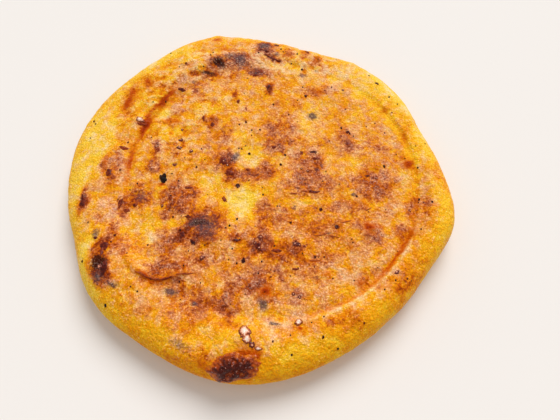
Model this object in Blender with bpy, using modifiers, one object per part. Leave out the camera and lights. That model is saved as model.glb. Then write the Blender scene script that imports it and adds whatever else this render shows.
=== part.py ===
"""A hotteok: a filled Korean griddle bread, fried in oil and pressed flat with a round steel press.

Frame: metres, +Z up. The origin lies on the flat fried underside, below the middle of the outline's
box. The syrup has burst out of the rim on the -Y side.

The bread is one closed solid. A turned body gives the pressed face, the groove and lip left by the
press, and the puffed rim. Its rim is then drawn out to the dough's own uneven outline and its top
takes the dents, swells and folds of the crust. Burst syrup, dough blisters and a burnt crumb are
fused on.
"""
import math

import bpy
import numpy as np
from mathutils import Matrix, Vector
from mathutils.bvhtree import BVHTree

NAME = "hotteok"
MM = 0.001

# --- Driving dimensions, in metres ---------------------------------------------------------------
PRESS_RADIUS = 50 * MM      # a round steel press, 100 mm across
NOMINAL_REACH = 66 * MM     # radius of the turned body, before the rim is drawn out
RIM_CREST_RADIUS = 55 * MM
BASE_RADIUS = 59 * MM       # the underside is flat out to here on the turned body
FACE_HEIGHT = 10.8 * MM     # top of the pressed face
FACE_CROWN = 0.9 * MM       # the filling lifts the middle of the face by this
RIM_HEIGHT = 11.9 * MM      # crest of the rim
EQUATOR_HEIGHT = 6.2 * MM   # height at which the rim reaches furthest
GROOVE_RADIUS = 48.4 * MM   # the edge of the press cut a groove just inside its circle
GROOVE_DEPTH = 0.9 * MM
GROOVE_HALF_WIDTH = 1.1 * MM
LIP_RADIUS = 50.2 * MM      # and squeezed up a lip just outside it
LIP_RISE = 0.8 * MM
LIP_HALF_WIDTH = 1.0 * MM

SPOKES = 106                # steps of the turned body
FACE_RING_GAP = 3.0 * MM
EDGE_RING_GAP = 1.1 * MM
EDGE_RINGS = 9              # close rings that carry the groove and the lip

# The outline: bearing in degrees, counted from +X towards +Y, and reach from the press's centre.
OUTLINE = (
    (4, 59.5 * MM), (20, 58.0 * MM), (36, 60.3 * MM), (56, 61.8 * MM), (68, 61.3 * MM),
    (82, 62.2 * MM), (96, 66.2 * MM), (112, 71.4 * MM), (132, 71.4 * MM), (158, 72.6 * MM),
    (186, 69.8 * MM), (201, 68.0 * MM), (213, 69.2 * MM), (238, 67.0 * MM), (262, 67.0 * MM),
    (290, 62.0 * MM), (308, 60.0 * MM), (328, 59.8 * MM), (344, 62.5 * MM),
)
# Torn tips that stand out from it: bearing, half width in degrees, and how far.
OUTLINE_TIPS = ((109, 3, 1.0 * MM), (60.5, 3, 0.7 * MM))

# Rim: bearing, half width in degrees, and how far the crest stands above or below RIM_HEIGHT.
RIM_SWELLS = (
    (342, 20, 1.2 * MM),    # thick bulge on the right
    (305, 16, 0.6 * MM),
    (258, 16, 1.0 * MM),    # pushed up by the syrup
    (208, 14, 0.7 * MM),
    (168, 26, -0.9 * MM),   # long low flank on the left
    (122, 14, 0.8 * MM),    # corner at the back
    (70, 20, -0.8 * MM),
    (28, 26, -1.3 * MM),    # pressed nearly level where the outline dips in
)

# Where the press bit deepest: bearing, half width in degrees, share of the full depth.
GROOVE_REACHES = ((322, 34, 1.0), (28, 24, 0.45), (152, 24, 0.9), (182, 14, 0.5), (250, 30, 0.2))
LIP_REACHES = ((318, 34, 1.0), (20, 22, 0.3), (172, 22, 0.5), (262, 18, 0.4), (110, 24, 0.3))

# Dents and swells of the crust: place from the press's centre, half sizes, turn in degrees, height.
CRUST_SWELLS = (
    (-8 * MM, -11 * MM, 8 * MM, 6 * MM, -20, -0.7 * MM),    # pale hollows that missed the pan
    (-7 * MM, 6 * MM, 6 * MM, 5 * MM, 0, -0.6 * MM),
    (-22 * MM, -3 * MM, 6 * MM, 4 * MM, 10, -0.5 * MM),
    (-40 * MM, -19 * MM, 7 * MM, 5 * MM, 30, -0.6 * MM),
    (15 * MM, 24 * MM, 6 * MM, 5 * MM, 0, -0.6 * MM),
    (-23 * MM, -19 * MM, 9 * MM, 7 * MM, 20, 0.6 * MM),     # browned swells that pressed on it
    (4 * MM, 16 * MM, 9 * MM, 7 * MM, 0, 0.5 * MM),
    (-15 * MM, 4 * MM, 6 * MM, 5 * MM, 0, 0.5 * MM),
    (13 * MM, -4 * MM, 10 * MM, 7 * MM, 0, 0.5 * MM),
    (34 * MM, -3 * MM, 9 * MM, 7 * MM, 0, 0.4 * MM),
    (3 * MM, -27 * MM, 12 * MM, 7 * MM, -10, 0.6 * MM),
    (27 * MM, -22 * MM, 9 * MM, 6 * MM, 15, 0.5 * MM),
    (-32 * MM, 42 * MM, 7 * MM, 3 * MM, 35, 0.9 * MM),      # folds across the rim at the upper left
    (-41 * MM, 33 * MM, 6 * MM, 3 * MM, 35, 0.7 * MM),
    (-14 * MM, 50 * MM, 9 * MM, 4 * MM, 8, 0.8 * MM),
    (-54 * MM, 1 * MM, 4 * MM, 9 * MM, 0, 0.8 * MM),
    (-52 * MM, -33 * MM, 5 * MM, 6 * MM, 25, 0.9 * MM),
    (-30 * MM, -44 * MM, 9 * MM, 4 * MM, -30, -0.7 * MM),
    (-20 * MM, -53 * MM, 7 * MM, 3 * MM, -25, -0.8 * MM),
)

# A torn flap at the front left: the arc of its edge, and the step down across it.
FLAP_CENTRE = (-33 * MM, -24 * MM)
FLAP_RADIUS = 13.5 * MM
FLAP_FROM, FLAP_TO = 208, 305
FLAP_STEP = 1.3 * MM
FLAP_HALF_WIDTH = 1.1 * MM
FLAP_FADE = 7 * MM

# The edge of the filling shows as a faint step round the left of the middle.
POOL_CENTRE = (-4 * MM, 1 * MM)
POOL_RADIUS = 31 * MM
POOL_FROM, POOL_TO = 165, 250
POOL_STEP = 0.5 * MM

# Things fused on: place from the press's centre, radius, height share of a full ball.
SYRUP_LUMPS = (
    (-12.5 * MM, -61.0 * MM, 5.6 * MM, 0.35), (-7.0 * MM, -61.5 * MM, 4.8 * MM, 0.40),
    (-16.5 * MM, -62.0 * MM, 3.6 * MM, 0.50), (-19.5 * MM, -60.3 * MM, 2.0 * MM, 0.50),
    (-12.0 * MM, -64.0 * MM, 3.0 * MM, 0.60), (-7.5 * MM, -64.3 * MM, 2.6 * MM, 0.60),
    (-3.0 * MM, -60.0 * MM, 2.4 * MM, 0.50), (-9.5 * MM, -58.0 * MM, 3.2 * MM, 0.40),
    (-14.5 * MM, -58.6 * MM, 2.6 * MM, 0.40), (-4.8 * MM, -63.3 * MM, 2.0 * MM, 0.60),
)
BLISTERS = (
    (-7.0 * MM, -53.3 * MM, 2.8 * MM, 0.50), (8.0 * MM, -49.6 * MM, 1.5 * MM, 0.60),
    (31.5 * MM, -20.8 * MM, 3.0 * MM, 0.30), (-32.5 * MM, 11.5 * MM, 1.8 * MM, 0.40),
    (-34.0 * MM, 14.6 * MM, 1.5 * MM, 0.40), (-48.0 * MM, 22.0 * MM, 2.4 * MM, 0.35),
    (-1.5 * MM, -40.5 * MM, 3.2 * MM, 0.30), (46.5 * MM, 3.8 * MM, 2.8 * MM, 0.30),
    (-1.5 * MM, 37.5 * MM, 2.4 * MM, 0.30),
)
CRUMBS = ((-36.3 * MM, -2.1 * MM, 1.7 * MM, 0.60),)
FUSED_SINK = 0.25           # a fused ball's centre lies this share of its height under the crust

DOUGH_COLOUR = (0.74, 0.36, 0.055, 1.0)
DOUGH_ROUGHNESS = 0.38


# --- Formulas ------------------------------------------------------------------------------------
def smoothstep(low, high, value):
    """0 below low, 1 above high, and a smooth S between."""
    share = np.clip((value - low) / (high - low), 0.0, 1.0)
    return share * share * (3.0 - 2.0 * share)


def bell(distance, half_width):
    """1 at distance 0, falling off as a Gaussian."""
    return np.exp(-((distance / half_width) ** 2))


def turn_between(bearing, other):
    """Signed angle from other to bearing, in degrees, from -180 to 180."""
    return (bearing - other + 180.0) % 360.0 - 180.0


def sum_round_rim(bearing, reaches):
    """Sum of bells round the rim, each given as bearing, half width and height."""
    return sum(height * bell(turn_between(bearing, middle), half) for middle, half, height in reaches)


def sector(bearing, start, end, fade=9.0):
    """1 between two bearings, fading to 0 over a few degrees past each."""
    middle = 0.5 * (start + end)
    return 1.0 - smoothstep(0.0, fade, np.abs(turn_between(bearing, middle)) - 0.5 * (end - start))


def outline_reach(bearing):
    """Reach of the outline at each bearing: a closed cubic curve through OUTLINE, plus the tips."""
    turns, reaches = np.array(OUTLINE).T
    turns = np.concatenate((turns - 360.0, turns, turns + 360.0))
    reaches = np.tile(reaches, 3)
    slopes = np.gradient(reaches, turns)
    bearing = np.mod(bearing, 360.0)
    k = np.searchsorted(turns, bearing, side="right") - 1
    gap = turns[k + 1] - turns[k]
    t = (bearing - turns[k]) / gap
    curve = ((2 * t**3 - 3 * t**2 + 1) * reaches[k] + (t**3 - 2 * t**2 + t) * gap * slopes[k]
             + (3 * t**2 - 2 * t**3) * reaches[k + 1] + (t**3 - t**2) * gap * slopes[k + 1])
    return curve + sum_round_rim(bearing, OUTLINE_TIPS)


def press_centre():
    """Place of the press's centre in the frame whose origin is the middle of the outline's box."""
    bearing = np.arange(0.0, 360.0, 0.25)
    reach = outline_reach(bearing)
    x = reach * np.cos(np.radians(bearing))
    y = reach * np.sin(np.radians(bearing))
    return np.array((-0.5 * (x.min() + x.max()), -0.5 * (y.min() + y.max())))


def crust_relief(x, y):
    """Height of the dents, swells, flap and filling edge at a place from the press's centre."""
    height = np.zeros_like(x)
    for cx, cy, half_x, half_y, turn, rise in CRUST_SWELLS:
        cosine, sine = math.cos(math.radians(turn)), math.sin(math.radians(turn))
        along = (x - cx) * cosine + (y - cy) * sine
        across = (y - cy) * cosine - (x - cx) * sine
        height += rise * np.exp(-((along / half_x) ** 2) - (across / half_y) ** 2)

    dx, dy = x - FLAP_CENTRE[0], y - FLAP_CENTRE[1]
    inside = FLAP_RADIUS - np.hypot(dx, dy)
    edge = smoothstep(-FLAP_HALF_WIDTH, FLAP_HALF_WIDTH, inside)
    fade = 1.0 - smoothstep(0.0, FLAP_FADE, inside)
    height += FLAP_STEP * edge * fade * sector(np.degrees(np.arctan2(dy, dx)), FLAP_FROM, FLAP_TO)

    dx, dy = x - POOL_CENTRE[0], y - POOL_CENTRE[1]
    inside = POOL_RADIUS - np.hypot(dx, dy)
    step = smoothstep(-1.2 * MM, 1.2 * MM, inside) * (1.0 - smoothstep(0.0, 9 * MM, inside))
    height += POOL_STEP * step * sector(np.degrees(np.arctan2(dy, dx)), POOL_FROM, POOL_TO)
    return height


# --- The turned body -----------------------------------------------------------------------------
def turned_profile():
    """Radius and height from the middle of the face, over the rim and in along the flat underside."""
    points = []
    for radius in np.arange(0.0, GROOVE_RADIUS - 2.4 * GROOVE_HALF_WIDTH, FACE_RING_GAP):
        points.append((radius, FACE_HEIGHT + FACE_CROWN * (1.0 - (radius / PRESS_RADIUS) ** 2)))
    for radius in np.linspace(GROOVE_RADIUS - 2 * EDGE_RING_GAP, RIM_CREST_RADIUS, EDGE_RINGS):
        share = smoothstep(GROOVE_RADIUS, RIM_CREST_RADIUS, radius)
        points.append((radius, FACE_HEIGHT + (RIM_HEIGHT - FACE_HEIGHT) * share))
    for angle in np.radians((74, 58, 43, 29, 14, 0)):
        points.append((RIM_CREST_RADIUS + (NOMINAL_REACH - RIM_CREST_RADIUS) * math.cos(angle),
                       EQUATOR_HEIGHT + (RIM_HEIGHT - EQUATOR_HEIGHT) * math.sin(angle)))
    for angle in np.radians((-16, -34, -54, -72, -90)):
        points.append((BASE_RADIUS + (NOMINAL_REACH - BASE_RADIUS) * math.cos(angle),
                       EQUATOR_HEIGHT * (1.0 + math.sin(angle))))
    for radius in (0.72 * BASE_RADIUS, 0.38 * BASE_RADIUS, 0.0):
        points.append((radius, 0.0))
    return points


def turn_body(collection):
    """Turn the profile about Z with a Screw modifier and return the result as a plain mesh object."""
    points = turned_profile()
    mesh = bpy.data.meshes.new("dough_profile")
    edges = [(i, i + 1) for i in range(len(points) - 1)]
    mesh.from_pydata([(radius, 0.0, height) for radius, height in points], edges, [])
    profile = bpy.data.objects.new("dough_profile", mesh)
    collection.objects.link(profile)
    screw = profile.modifiers.new("turn", "SCREW")
    screw.axis = "Z"
    screw.steps = screw.render_steps = SPOKES
    screw.use_merge_vertices = True
    screw.merge_threshold = 0.00001
    bpy.context.view_layer.update()

    turned = bpy.data.meshes.new_from_object(profile.evaluated_get(bpy.context.evaluated_depsgraph_get()))
    bpy.data.objects.remove(profile)
    body = bpy.data.objects.new(NAME, turned)
    collection.objects.link(body)
    return body


def shape_body(body):
    """Draw the rim out to the outline and press the crust's relief into the top."""
    mesh = body.data
    places = np.empty(len(mesh.vertices) * 3)
    mesh.vertices.foreach_get("co", places)
    x, y, z = places.reshape(-1, 3).T.copy()

    radius = np.hypot(x, y)
    bearing = np.degrees(np.arctan2(y, x))
    top = smoothstep(EQUATOR_HEIGHT, FACE_HEIGHT - GROOVE_DEPTH, z)
    rim = smoothstep(PRESS_RADIUS, RIM_CREST_RADIUS, radius)

    z += top * rim * sum_round_rim(bearing, RIM_SWELLS)
    z -= top * GROOVE_DEPTH * bell(radius - GROOVE_RADIUS, GROOVE_HALF_WIDTH) * np.clip(
        sum_round_rim(bearing, GROOVE_REACHES), 0.15, 1.0)
    z += top * LIP_RISE * bell(radius - LIP_RADIUS, LIP_HALF_WIDTH) * np.clip(
        sum_round_rim(bearing, LIP_REACHES), 0.0, 1.0)

    stretch = (outline_reach(bearing) - PRESS_RADIUS) / (NOMINAL_REACH - PRESS_RADIUS)
    drawn = np.where(radius > PRESS_RADIUS, PRESS_RADIUS + (radius - PRESS_RADIUS) * stretch, radius)
    x *= np.divide(drawn, radius, out=np.ones_like(radius), where=radius > 0)
    y *= np.divide(drawn, radius, out=np.ones_like(radius), where=radius > 0)
    z += top * crust_relief(x, y)

    centre = press_centre()
    mesh.vertices.foreach_set("co", np.column_stack((x + centre[0], y + centre[1], z)).ravel())
    mesh.update()


# --- What is fused to the crust ------------------------------------------------------------------
def add_lumps(body, lumps, prefix, collection, roughness=0.0):
    """Half-sunk balls on the crust, flattened along its normal, each an object in the collection."""
    surface = BVHTree.FromPolygons([v.co for v in body.data.vertices],
                                   [p.vertices for p in body.data.polygons])
    centre_x, centre_y = press_centre()
    wobble = np.random.default_rng(7)
    for number, (x, y, radius, flatness) in enumerate(lumps):
        above = Vector((centre_x + x, centre_y + y, 3 * RIM_HEIGHT))
        place, normal, _, _ = surface.ray_cast(above, Vector((0, 0, -1)))
        bpy.ops.mesh.primitive_ico_sphere_add(subdivisions=2, radius=radius)
        lump = bpy.context.object
        lump.name = f"{prefix}_{number + 1:02d}"
        for vertex in lump.data.vertices:
            vertex.co *= 1.0 + roughness * wobble.uniform(-1.0, 1.0)
        upright = Vector((0, 0, 1)).rotation_difference(normal).to_matrix().to_4x4()
        sunk = place - normal * (FUSED_SINK * radius * flatness)
        lump.data.transform(Matrix.Translation(sunk) @ upright @ Matrix.Diagonal((1, 1, flatness, 1)))
        for owner in list(lump.users_collection):
            owner.objects.unlink(lump)
        collection.objects.link(lump)


def fuse(body, collection):
    """Join every object of the collection to the body with one union, then remove them."""
    union = body.modifiers.new("fuse", "BOOLEAN")
    union.operation = "UNION"
    union.operand_type = "COLLECTION"
    union.collection = collection
    union.solver = "EXACT"
    bpy.context.view_layer.objects.active = body
    bpy.ops.object.modifier_apply(modifier=union.name)
    for item in list(collection.objects):
        bpy.data.objects.remove(item)
    bpy.data.collections.remove(collection)


def dough_material():
    """Fried golden dough."""
    material = bpy.data.materials.new("fried_dough")
    material.use_nodes = True
    shader = material.node_tree.nodes["Principled BSDF"]
    shader.inputs["Base Color"].default_value = DOUGH_COLOUR
    shader.inputs["Roughness"].default_value = DOUGH_ROUGHNESS
    shader.inputs["Metallic"].default_value = 0.0
    return material


def main():
    for item in list(bpy.data.objects):
        bpy.data.objects.remove(item)
    parts = bpy.data.collections.new(NAME)
    fused = bpy.data.collections.new("fused_lumps")
    for collection in (parts, fused):
        bpy.context.scene.collection.children.link(collection)

    body = turn_body(parts)
    shape_body(body)
    add_lumps(body, SYRUP_LUMPS, "syrup", fused, roughness=0.10)
    add_lumps(body, BLISTERS, "blister", fused)
    add_lumps(body, CRUMBS, "crumb", fused, roughness=0.12)
    fuse(body, fused)

    body.data.materials.clear()
    body.data.materials.append(dough_material())
    body.data.shade_smooth()
    print(NAME, "box", [round(side / MM, 2) for side in body.dimensions], "mm")


main()
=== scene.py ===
# %% [markdown]
# # A hotteok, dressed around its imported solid
# A hotteok is a ball of sticky wheat dough filled with brown sugar, fried in oil and pressed flat
# with a round steel press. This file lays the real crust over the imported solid: one dense closed
# skin of dough, the burnt syrup that ran out of its edge, oil bubbles, scabs of burnt sugar and
# crumbs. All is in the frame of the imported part: metres, +Z up, the fried underside at Z = 0.

import math
from itertools import product

import bpy
import numpy as np
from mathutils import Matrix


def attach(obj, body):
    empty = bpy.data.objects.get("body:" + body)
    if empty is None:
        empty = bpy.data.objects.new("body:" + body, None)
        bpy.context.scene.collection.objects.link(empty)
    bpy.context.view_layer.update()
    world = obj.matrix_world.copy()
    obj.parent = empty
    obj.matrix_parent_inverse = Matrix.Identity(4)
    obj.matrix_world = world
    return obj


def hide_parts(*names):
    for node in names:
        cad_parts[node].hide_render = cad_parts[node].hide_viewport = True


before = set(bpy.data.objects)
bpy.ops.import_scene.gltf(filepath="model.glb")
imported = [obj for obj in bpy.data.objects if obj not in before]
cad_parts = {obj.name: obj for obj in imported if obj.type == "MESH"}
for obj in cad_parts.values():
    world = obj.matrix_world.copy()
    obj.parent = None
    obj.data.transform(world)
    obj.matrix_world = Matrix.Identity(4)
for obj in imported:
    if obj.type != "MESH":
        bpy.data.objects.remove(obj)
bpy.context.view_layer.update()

# %% [markdown]
# ## Sizes
# The driving sizes are the part's own: the press is 100 mm across, and the rim is drawn out from it
# to an uneven outline. The same named values here and in the solid make the skin lie on the solid,
# so nothing has to be fitted afterwards. All lists below are in millimetres from the press's
# centre, because that is how one would measure the bread with a ruler.

# %% Driving sizes
MM = 0.001
PRESS_RADIUS = 50.0
NOMINAL_REACH = 66.0
RIM_CREST_RADIUS = 55.0
BASE_RADIUS = 59.0
FACE_HEIGHT = 10.8
FACE_CROWN = 0.9
RIM_HEIGHT = 11.9
EQUATOR_HEIGHT = 6.2
GROOVE_RADIUS, GROOVE_DEPTH, GROOVE_HALF_WIDTH = 48.4, 0.9, 1.1
LIP_RADIUS, LIP_RISE, LIP_HALF_WIDTH = 50.2, 0.8, 1.0

# Outline: bearing in degrees from +X towards +Y, and reach from the press's centre.
OUTLINE = (
    (4, 59.5), (20, 58.0), (36, 60.3), (56, 61.8), (68, 61.3), (82, 62.2), (96, 66.2),
    (112, 71.4), (132, 71.4), (158, 72.6), (186, 69.8), (201, 68.0), (213, 69.2),
    (238, 67.0), (262, 67.0), (290, 62.0), (308, 60.0), (328, 59.8), (344, 62.5),
)
OUTLINE_TIPS = ((109, 3, 1.0), (60.5, 3, 0.7))
# Round the rim: bearing, half width in degrees, height or share.
RIM_SWELLS = (
    (342, 20, 1.2), (305, 16, 0.6), (258, 16, 1.0), (208, 14, 0.7),
    (168, 26, -0.9), (122, 14, 0.8), (70, 20, -0.8), (28, 26, -1.3),
)
GROOVE_REACHES = ((322, 34, 1.0), (28, 24, 0.45), (152, 24, 0.9), (182, 14, 0.5), (250, 30, 0.2))
LIP_REACHES = ((318, 34, 1.0), (20, 22, 0.3), (172, 22, 0.5), (262, 18, 0.4), (110, 24, 0.3))

# %% [markdown]
# ## Small formulas
# Three curves do nearly all the shaping: an S-curve that switches something on, a bell that raises
# or dents a place, and a bell round the rim. Each works on whole arrays at once. A list of places
# holds a row of numbers for each bell.

# %% Curves used everywhere
def smoothstep(low, high, value):
    """3t^2 - 2t^3 of the share t of the way from low to high, held at 0 below and 1 above."""
    share = np.clip((value - low) / (high - low), 0.0, 1.0)
    return share * share * (3.0 - 2.0 * share)


def bell(distance, half_width):
    """e to the minus (distance / half width) squared."""
    return np.exp(-((distance / half_width) ** 2))


def turn_between(bearing, other):
    """Signed angle between two bearings, in degrees, from -180 to 180."""
    return (bearing - other + 180.0) % 360.0 - 180.0


def sum_round_rim(bearing, reaches):
    """Sum of bells round the rim, each with its own middle, half width and height."""
    return sum(height * bell(turn_between(bearing, middle), half) for middle, half, height in reaches)


def sector(bearing, start, end, fade=9.0):
    """1 between two bearings, switched off over a few degrees past each."""
    middle = 0.5 * (start + end)
    return 1.0 - smoothstep(0.0, fade, np.abs(turn_between(bearing, middle)) - 0.5 * (end - start))


def places(*rows):
    """Rows of x, y, two half sizes, turn and strength. Short rows are round, or have no turn."""
    def full(x, y, half, *rest):
        *shape, strength = rest
        return (x, y, half, *shape, *(half, 0)[len(shape):], strength)
    return np.array([full(*row) for row in rows], float)


def marks(*rows):
    """A list of places whose strengths are written in percent."""
    return places(*rows) / (1, 1, 1, 1, 1, 100)


def patches(x, y, rows, edge=1.0):
    """Sum of the bells in a list of places, flat on top where edge is over 1."""
    total = np.zeros_like(x)
    for cx, cy, half_x, half_y, turn, strength in rows:
        cosine, sine = math.cos(math.radians(turn)), math.sin(math.radians(turn))
        along = (x - cx) * cosine + (y - cy) * sine
        across = (y - cy) * cosine - (x - cx) * sine
        total += strength * np.exp(-(((along / half_x) ** 2 + (across / half_y) ** 2) ** edge))
    return total


# %% [markdown]
# ## A smooth random field
# Dough is uneven at every scale. A cube lattice with a random number on each corner, blended inside
# each cube with the S-curve, gives a field that is random yet smooth. Summing it at halved cell
# sizes puts small swells on large ones. It is seeded, so the bread comes out the same each time.

# %% Seeded noise on whole arrays
LATTICE = (96, 96, 24)


def smooth_noise(points, cell, seed):
    """Random numbers from -1 to 1 on a lattice of that cell size, blended with 3t^2 - 2t^3."""
    table = np.random.default_rng(seed).uniform(-1.0, 1.0, LATTICE)
    place = points / cell
    corner = np.floor(place).astype(int)
    t = place - corner
    t = t * t * (3.0 - 2.0 * t)
    value = np.zeros(points.shape[:-1])
    for step in product((0, 1), repeat=3):
        weight = np.prod(np.where(step, t, 1.0 - t), axis=-1)
        i, j, k = np.moveaxis((corner + step) % LATTICE, -1, 0)
        value += weight * table[i, j, k]
    return value


def layered_noise(points, cell, layers, seed):
    """Sum of smooth noise at cell, cell / 2, cell / 4 ..., each at half the strength before it."""
    return sum(smooth_noise(points, cell / 2**k, seed + k) / 2**k for k in range(layers))


# %% [markdown]
# ## The form of the bread
# The bread is a round cushion of dough with a flat circle stamped in it. It could be sculpted, but
# a turned profile says more: one line runs from the middle of the face, over the rim and back under
# it. The two parameters are the bearing round the press and the run along that line. Past the press
# the rim is stretched until its edge meets the uneven outline.

# %% The outline and the turned line
def outline_reach(bearing):
    """Reach at each bearing: a closed cubic Hermite curve through OUTLINE, plus the torn tips."""
    turns, reaches = np.array(OUTLINE).T
    turns = np.concatenate((turns - 360.0, turns, turns + 360.0))
    reaches = np.tile(reaches, 3)
    slopes = np.gradient(reaches, turns)
    bearing = np.mod(bearing, 360.0)
    k = np.searchsorted(turns, bearing, side="right") - 1
    gap = turns[k + 1] - turns[k]
    t = (bearing - turns[k]) / gap
    curve = ((2 * t**3 - 3 * t**2 + 1) * reaches[k] + (t**3 - 2 * t**2 + t) * gap * slopes[k]
             + (3 * t**2 - 2 * t**3) * reaches[k + 1] + (t**3 - t**2) * gap * slopes[k + 1])
    return curve + sum_round_rim(bearing, OUTLINE_TIPS)


def press_centre():
    """The press's centre seen from the middle of the outline's box."""
    bearing = np.arange(0.0, 360.0, 0.25)
    turn = np.radians(bearing)
    edge = outline_reach(bearing) * (np.cos(turn), np.sin(turn))
    return -0.5 * (edge.min(axis=1) + edge.max(axis=1))


def turned_line(points=400):
    """Crowned face, S-curve up to the rim, two quarter ellipses round the edge, flat underside."""
    face = np.linspace(0.0, RIM_CREST_RADIUS, points)
    crown = FACE_CROWN * (1.0 - (face / PRESS_RADIUS) ** 2)
    rise = smoothstep(GROOVE_RADIUS, RIM_CREST_RADIUS, face)
    height = FACE_HEIGHT + crown * (1.0 - rise) + (RIM_HEIGHT - FACE_HEIGHT) * rise
    upper = np.radians(np.linspace(90.0, 0.0, points)[1:])
    lower = np.radians(np.linspace(0.0, -90.0, points)[1:])
    under = np.linspace(BASE_RADIUS, 0.0, points)[1:]
    radius = np.concatenate((
        face, RIM_CREST_RADIUS + (NOMINAL_REACH - RIM_CREST_RADIUS) * np.cos(upper),
        BASE_RADIUS + (NOMINAL_REACH - BASE_RADIUS) * np.cos(lower), under))
    height = np.concatenate((
        height, EQUATOR_HEIGHT + (RIM_HEIGHT - EQUATOR_HEIGHT) * np.sin(upper),
        EQUATOR_HEIGHT * (1.0 + np.sin(lower)), np.zeros_like(under)))
    return radius, height


LINE_RADIUS, LINE_HEIGHT = turned_line()
LINE_RUN = np.concatenate(((0.0,), np.cumsum(np.hypot(np.diff(LINE_RADIUS), np.diff(LINE_HEIGHT)))))
PRESS_CENTRE = press_centre()
print("press centre, mm:", np.round(PRESS_CENTRE, 2), " line length, mm:", round(LINE_RUN[-1], 1))

# %% [markdown]
# ## Dents, swells and a torn flap
# Where the dough bulged it pressed on the hot pan and browned; where it hung back it stayed pale.
# These forms can be felt with a finger. They are few, so each is a bell with a place and a size.
# The torn flap at the front left and the faint edge of the filling are arcs: a step across a
# circle, switched on over part of a turn.

# %% The crust's large relief
CRUST_SWELLS = places(
    (-8, -11, 8, 6, -20, -0.7), (-7, 6, 6, 5, -0.6), (-22, -3, 6, 4, 10, -0.5),
    (-40, -19, 7, 5, 30, -0.6), (15, 24, 6, 5, -0.6), (-23, -19, 9, 7, 20, 0.6), (4, 16, 9, 7, 0.5),
    (-15, 4, 6, 5, 0.5), (13, -4, 10, 7, 0.5), (34, -3, 9, 7, 0.4), (3, -27, 12, 7, -10, 0.6),
    (27, -22, 9, 6, 15, 0.5), (-32, 42, 7, 3, 35, 0.9), (-41, 33, 6, 3, 35, 0.7),
    (-14, 50, 9, 4, 8, 0.8), (-54, 1, 4, 9, 0.8), (-52, -33, 5, 6, 25, 0.9),
    (-30, -44, 9, 4, -30, -0.7), (-20, -53, 7, 3, -25, -0.8),
)
# Arcs: centre, radius, first and last bearing, half width of the step, fade.
FLAP_ARC, FLAP_STEP = ((-33, -24), 13.5, 208, 305, 1.1, 7), 1.3
POOL_ARC, POOL_STEP = ((-4, 1), 31, 165, 250, 1.2, 9), 0.5
LEAST_GROOVE = 0.15


def arc_step(x, y, centre, radius, start, end, half_width, fade):
    """Inside a circle's edge: the S-curve across the edge, fading inwards, over part of a turn."""
    dx, dy = x - centre[0], y - centre[1]
    inside = radius - np.hypot(dx, dy)
    step = smoothstep(-half_width, half_width, inside) * (1.0 - smoothstep(0.0, fade, inside))
    return step * sector(np.degrees(np.arctan2(dy, dx)), start, end)


def crust_relief(x, y):
    """Height of dents, swells, flap and filling edge, from the press's centre."""
    arcs = FLAP_STEP * arc_step(x, y, *FLAP_ARC) + POOL_STEP * arc_step(x, y, *POOL_ARC)
    return patches(x, y, CRUST_SWELLS) + arcs


def rim_stretch(bearing):
    """How much longer the way from the press to the edge is than on the turned line."""
    return (outline_reach(bearing) - PRESS_RADIUS) / (NOMINAL_REACH - PRESS_RADIUS)


def dough_shape(bearing, run):
    """Point of the bread at a bearing and a run along the turned line, from the press's centre."""
    radius = np.interp(run, LINE_RUN, LINE_RADIUS)
    z = np.interp(run, LINE_RUN, LINE_HEIGHT)
    top = smoothstep(EQUATOR_HEIGHT, FACE_HEIGHT - GROOVE_DEPTH, z)
    rim = smoothstep(PRESS_RADIUS, RIM_CREST_RADIUS, radius)
    z = z + top * rim * sum_round_rim(bearing, RIM_SWELLS)
    z = z - top * GROOVE_DEPTH * bell(radius - GROOVE_RADIUS, GROOVE_HALF_WIDTH) * np.clip(
        sum_round_rim(bearing, GROOVE_REACHES), LEAST_GROOVE, 1.0)
    z = z + top * LIP_RISE * bell(radius - LIP_RADIUS, LIP_HALF_WIDTH) * np.clip(
        sum_round_rim(bearing, LIP_REACHES), 0.0, 1.0)
    past_press = (radius - PRESS_RADIUS) * rim_stretch(bearing)
    radius = np.where(radius > PRESS_RADIUS, PRESS_RADIUS + past_press, radius)
    x = radius * np.cos(np.radians(bearing))
    y = radius * np.sin(np.radians(bearing))
    return np.stack((x, y, z + top * crust_relief(x, y)), axis=-1)


# %% [markdown]
# ## The grid of the skin
# A grid of bearings and runs covers the whole bread and closes on itself. Its rings are close where
# the bread shows and spread out under it. The normal at each point is the cross product of the two
# directions of the grid.

# %% Bearings, runs and normals
SPOKES = 590
TOP_RING_GAP, UNDER_RING_GAP = 0.56, 2.6


def ring_runs():
    """Runs of the rings: steps of one gap on the face and edge, and of a wider gap underneath."""
    fine = np.arange(0.0, LINE_RUN[-1] - BASE_RADIUS + 3.0, TOP_RING_GAP)
    under = np.linspace(fine[-1], LINE_RUN[-1], int((LINE_RUN[-1] - fine[-1]) / UNDER_RING_GAP))
    return np.concatenate((fine, under[1:]))


def grid_normals(points):
    """Cross product of the run and bearing directions, unit length, smooth across the seam."""
    wrapped = np.concatenate((points[:, -1:], points, points[:, :1]), axis=1)
    along = np.gradient(points, axis=0)
    around = (wrapped[:, 2:] - wrapped[:, :-2]) * 0.5
    normal = np.cross(along, around)
    normal[0], normal[-1] = (0, 0, 1), (0, 0, -1)
    return normal / np.maximum(np.linalg.norm(normal, axis=-1, keepdims=True), 1e-9)


RUNS = ring_runs()
BEARINGS = np.arange(SPOKES) * (360.0 / SPOKES)
GRID_BEARING, GRID_RUN = np.meshgrid(BEARINGS, RUNS)
SMOOTH_SKIN = dough_shape(GRID_BEARING, GRID_RUN)
SKIN_NORMAL = grid_normals(SMOOTH_SKIN)
print("skin grid:", SMOOTH_SKIN.shape[:2], "triangles:", 2 * SPOKES * (len(RUNS) - 2))

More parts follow.
